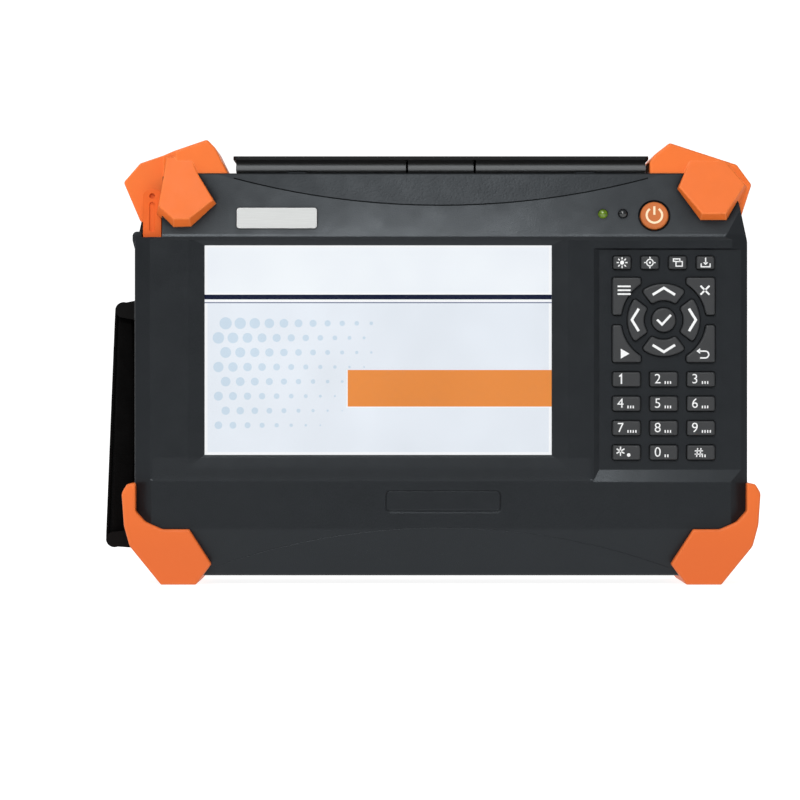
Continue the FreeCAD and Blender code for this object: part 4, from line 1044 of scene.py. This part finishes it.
def cross_sign(bm):
    reach = 1.5
    add_stroke(bm, [(-reach, -reach), (reach, reach)], stroke_width)
    add_stroke(bm, [(-reach, reach), (reach, -reach)], stroke_width)


def play_sign(bm):
    add_polygon(bm, [(-1.4, -1.8), (1.8, 0), (-1.4, 1.8)])


def back_sign(bm):
    """Hooked arrow."""
    hook = [(-1.5, 0.9), (0.6, 0.9), *arc_points(0.6, -0.3, 1.2, 80, -90, 12), (-1.2, -1.5)]
    add_stroke(bm, hook, 0.5)
    add_polygon(bm, [(-2.5, 0.9), (-1.2, -0.1), (-1.2, 1.9)])


def tick_sign(bm):
    add_stroke(bm, [(-2.2, 0.1), (-0.6, -1.5), (2.3, 1.6)], stroke_width * 1.2)


def arrow_sign(bm):
    """Open arrow that points up."""
    add_stroke(bm, [(-4.9, -0.6), (0, 2.4), (4.9, -0.6)], stroke_width * 1.8)


def star_sign(bm, x, z):
    reach = 2.0
    for i in range(3):
        a = math.radians(90 + 60 * i)
        along = Vector((math.cos(a), math.sin(a))) * reach
        add_stroke(bm, [(x - along.x, z - along.y), (x + along.x, z + along.y)], mark_stroke)


def hash_sign(bm, x):
    lean, rise, reach = 0.25, 1.95, 1.8
    for shift in (-0.72, 0.72):
        add_stroke(bm, [(x + shift - lean, -rise), (x + shift + lean, rise)], 0.5)
        add_stroke(bm, [(x - reach, shift), (x + reach, shift)], 0.5)


def one_sign(bm, x):
    add_stroke(bm, [(x - 1.0, 1.15), (x, 2.0), (x, -2.05)], stroke_width)


def small_marks(bm, count):
    """Row of short upright marks beside a figure."""
    for i in range(count):
        x = mark_left + i * mark_pitch
        add_stroke(bm, [(x, mark_middle - mark_half), (x, mark_middle + mark_half)], mark_stroke)


def number_sign(bm, figure):
    """Figure, star or hash at the left of a number key, with small marks beside most of them."""
    if figure == "star":
        star_sign(bm, figure_left, 0.6)
        add_polygon(bm, disc_points(0.9, -1.1, 0.8))
    elif figure == "hash":
        hash_sign(bm, -1.0)
    elif figure == "1":
        one_sign(bm, figure_left + 0.4)
    else:
        add_text(bm, figure, figure_height, figure_left)
    small_marks(bm, mark_counts.get(figure, 0))


# Sign of each key with its shift from the middle in millimetres and its scale
key_signs = {
    "light": (sun_sign, 0, 0, 1.2), "locate": (target_sign, 0, 0, 1.2),
    "windows": (windows_sign, 0, 0, 1.2), "save": (store_sign, 0, 0, 1.15), "ok": (tick_sign, 0, 0, 1.35),
    "menu": (bars_sign, -1.2, 2.6, 1.3), "delete": (cross_sign, 1.8, 2.6, 1.3),
    "start": (play_sign, -1.0, -4.4, 1.2), "escape": (back_sign, 1.2, -4.4, 1.25),
    "up": (arrow_sign, 0, 0, 1), "left": (arrow_sign, 0, 0, 1),
    "down": (arrow_sign, 0, 0, 1), "right": (arrow_sign, 0, 0, 1),
}
arrow_turns = {"up": 0, "left": 90, "down": 180, "right": 270}
mark_counts = {"2": 3, "3": 3, "4": 3, "5": 3, "6": 3, "7": 4, "8": 3, "9": 4, "0": 2, "hash": 2}


def add_legends():
    """One printed sign on every key, which moves with its key."""
    paint = ink("ink", legend_white)
    for key in [name for name in nodes if name.startswith("key_")]:
        figure = key.removeprefix("key_")
        bm = bmesh.new()
        right, up, scale = 0, 0, 1
        if figure in key_signs:
            draw, right, up, scale = key_signs[figure]
            draw(bm)
        else:
            number_sign(bm, figure)
        low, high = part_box(key)
        middle = (low + high) / 2
        spot = Matrix.Translation((middle.x + right * mm, low.y - ink_lift, middle.z + up * mm))
        turn = Matrix.Rotation(math.radians(-arrow_turns.get(figure, 0)), 4, "Y")
        bm.transform(spot @ turn @ Matrix.Scale(scale * mm, 4))
        add_piece("legend_" + figure, bm, paint, key)


def add_power_sign():
    """Open ring and bar on the leaning face of the power button."""
    bm = bmesh.new()
    add_stroke(bm, arc_points(0, 0, ring_radius, *ring_span, 40), ring_stroke)
    add_stroke(bm, [(0, height) for height in ring_bar], ring_stroke)
    joint = [j for j in frame["joints"] if j["child"] == "power_button"][0]
    inward = Vector(joint["axis"]).normalized()
    points = [v.co for v in nodes["power_button"].data.vertices]
    top = min(point.dot(inward) for point in points)
    face = [point for point in points if point.dot(inward) - top < face_depth]
    middle = sum(face, Vector()) / len(face) - inward * ink_lift
    lean = Matrix.Rotation(-math.atan2(-inward.z, inward.y), 4, "X")
    bm.transform(Matrix.Translation(middle) @ lean @ Matrix.Scale(mm, 4))
    add_piece("power_sign", bm, ink("ink_cream", legend_cream), "power_button")


# Hand strap

def add_strap(materials):
    """Padded hand strap: webbing round both bars, a pad inside it and two rows of stitches."""
    low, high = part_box("hand_strap")
    bars_low, bars_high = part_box("strap_bars")
    lower = Vector((bars_low.x + bar_radius, bars_low.z + bar_radius))
    upper = Vector((bars_high.x - bar_radius, bars_high.z - bar_radius))
    along = (upper - lower).normalized()
    outward = Vector((-along.y, along.x))
    path = strap_path(lower, upper, along, outward)
    add_webbing(path, low.y + web_inset, high.y - web_inset, materials["strap_fabric"])
    pad = add_pad(lower, upper, outward, low, high)
    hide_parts("hand_strap")
    add_stitches(lower, upper, along, outward, low, high)


def strap_path(lower, upper, along, outward):
    """Middle line of the webbing in (x, z): round the lower bar, up the outside and round the upper bar."""
    turns = [Matrix.Rotation(math.radians(-180 * i / web_rings), 2) for i in range(web_rings + 1)]
    tuck = along * (web_tail / 2)
    inward = -outward * (loop_radius / 2)
    path = [lower + along * web_tail, lower + tuck + inward]
    path += [lower + turn @ -outward * loop_radius for turn in turns]
    path += [upper + turn @ outward * loop_radius for turn in turns]
    path += [upper - tuck + inward, upper - along * web_tail]
    return path


def add_webbing(path, y0, y1, material):
    """Flat webbing of even thickness along an (x, z) path, with rounded selvedges."""
    bm = bmesh.new()
    half = web_thickness / 2
    flat = [y0 + half, y0 + web_thickness, y1 - web_thickness, y1 - half]
    section = [(y, half) for y in flat] + [(y1, 0.0)] + [(y, -half) for y in reversed(flat)] + [(y0, 0.0)]
    rows = []
    for i, point in enumerate(path):
        ahead = path[min(i + 1, len(path) - 1)] - path[max(i - 1, 0)]
        side = Vector((-ahead.y, ahead.x)).normalized()
        ring = [(point.x + side.x * off, y, point.y + side.y * off) for y, off in section]
        rows.append([bm.verts.new(spot) for spot in ring])
    skin_rows(bm, rows)
    obj = add_piece("strap_web", bm, material, "case", smooth=True)
    rounding = obj.modifiers.new("soft", "SUBSURF")
    rounding.levels = 1
    rounding.render_levels = 2


def signed_power(value, power):
    """Power of a number that keeps its sign."""
    return math.copysign(abs(value) ** power, value)


def add_pad(lower, upper, outward, low, high):
    """Foam pad that lies against the webbing and reaches the case, thinner towards its ends."""
    bm = bmesh.new()
    half = (high.y - low.y) / 2 - pad_inset
    middle_y = (high.y + low.y) / 2
    corner_x, corner_y = pad_corners
    rows = []
    for i in range(pad_rings + 1):
        share = pad_ends + (1 - 2 * pad_ends) * i / pad_rings
        spine = lower.lerp(upper, share)
        outer_x = spine.x + outward.x * (loop_radius - web_thickness / 4)
        fullness = math.sin(math.pi * share) ** pad_taper
        depth = (high.x - outer_x) / 2 * fullness
        width = half * (1 - pad_narrowing * (1 - fullness))
        row = []
        for k in range(pad_round):
            a = 2 * math.pi * k / pad_round
            x = outer_x + depth + depth * signed_power(math.sin(a), corner_x)
            y = middle_y + width * signed_power(math.cos(a), corner_y)
            row.append(bm.verts.new((x, y, spine.y)))
        rows.append(row)
    skin_rows(bm, rows)
    weave = strap_weave("strap_pad_fabric", strap_black, pad_pitch)
    return add_piece("strap_pad", bm, weave, "case", smooth=True)


def add_stitches(lower, upper, along, outward, low, high):
    """Two rows of stitches down the webbing."""
    bm = bmesh.new()
    count = int((upper - lower).length / stitch_pitch)
    face = loop_radius + web_thickness / 2 - stitch_radius / 3
    for y in (low.y + stitch_inset, high.y - stitch_inset):
        for i in range(1, count):
            add_stitch(bm, lower + along * (i * stitch_pitch) + outward * face, y, along)
    add_piece("strap_stitches", bm, thread(), "case", smooth=True)


def add_stitch(bm, spot, y, along):
    """One short raised thread."""
    made = bmesh.ops.create_uvsphere(bm, u_segments=6, v_segments=5, radius=stitch_radius)["verts"]
    stretch = Matrix.Diagonal((stitch_flatness, 1.0, stitch_length / stitch_radius / 2, 1.0))
    lean = Matrix.Rotation(math.atan2(along.x, along.y), 4, "Y")
    bmesh.ops.transform(bm, verts=made, matrix=Matrix.Translation((spot.x, y, spot.y)) @ lean @ stretch)


# Keypad membrane

def add_membrane(materials):
    """Silicone sheet, with a dome under each key."""
    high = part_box("keypad_membrane")[1]
    sheet_y = high.y - membrane_thickness
    sheet = bmesh.new()
    sheet.from_mesh(nodes["keypad_membrane"].data)
    tips = [v for v in sheet.verts if v.co.y < sheet_y - membrane_thickness / 4]
    bmesh.ops.delete(sheet, geom=tips, context="VERTS")
    bmesh.ops.holes_fill(sheet, edges=[e for e in sheet.edges if e.is_boundary])
    piece = add_piece("membrane_sheet", sheet, materials["silicone"], "case")
    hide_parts("keypad_membrane")
    for joint in frame["record"]["behaviour"]["joints"]:
        if joint["child"].startswith("key_"):
            add_dome(joint, sheet_y, materials["silicone"])


def add_dome(joint, sheet_y, material):
    """Sprung dome from the sheet up to the plunger of its key."""
    key = nodes[joint["child"]].data.vertices
    end_y = max(v.co.y for v in key)
    plunger = [v.co for v in key if v.co.y > end_y - ink_lift]
    middle = sum(plunger, Vector()) / len(plunger)
    height = sheet_y - end_y
    bm = bmesh.new()
    rows = []
    for radius, share in dome_profile:
        ring = disc_points(middle.x, middle.z, radius, dome_sides)
        rows.append([bm.verts.new((x, sheet_y - height * share, z)) for x, z in ring])
    skin_rows(bm, rows)
    name = "dome_" + joint["child"].removeprefix("key_")
    dome = add_piece(name, bm, material, "case", smooth=True)
    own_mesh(dome)


# Sockets

def opening_box(name):
    """Corners of an opening that the record states."""
    rows = [o for o in frame["record"]["physics"]["openings"] if o["name"] == name]
    return [Vector(corner) for corner in rows[0]["box_m"]]


def add_contacts():
    """Sprung contacts in each jack."""
    bm = bmesh.new()
    for name in ("rj45_a", "rj45_b"):
        low, high = opening_box(name)
        route = [(low.y + 0.1 * mm, high.z - 2.5 * mm), (low.y + 0.5 * mm, high.z - 3 * mm),
                 (low.y + 2.6 * mm, low.z + 2 * mm), (low.y + 2.2 * mm, low.z + 1 * mm)]
        middle = (low.x + high.x) / 2
        for i in range(contact_count):
            add_contact(bm, middle + (i - (contact_count - 1) / 2) * contact_pitch, route)
    add_piece("jack_contacts", bm, gold_contact(), "case")


def add_contact(bm, x, route):
    """Square wire through (y, z) points at one place across."""
    corners = [(-contact_half, -contact_half), (contact_half, -contact_half),
               (contact_half, contact_half), (-contact_half, contact_half)]
    skin_rows(bm, [[bm.verts.new((x + dx, y + dy, z)) for dx, dy in corners] for y, z in route])


def main():
    add_camera()
    add_lights()
    add_stage()
    materials = dress_solids()
    add_display(materials)
    add_legends()
    add_power_sign()
    add_strap(materials)
    add_membrane(materials)
    add_contacts()


main()
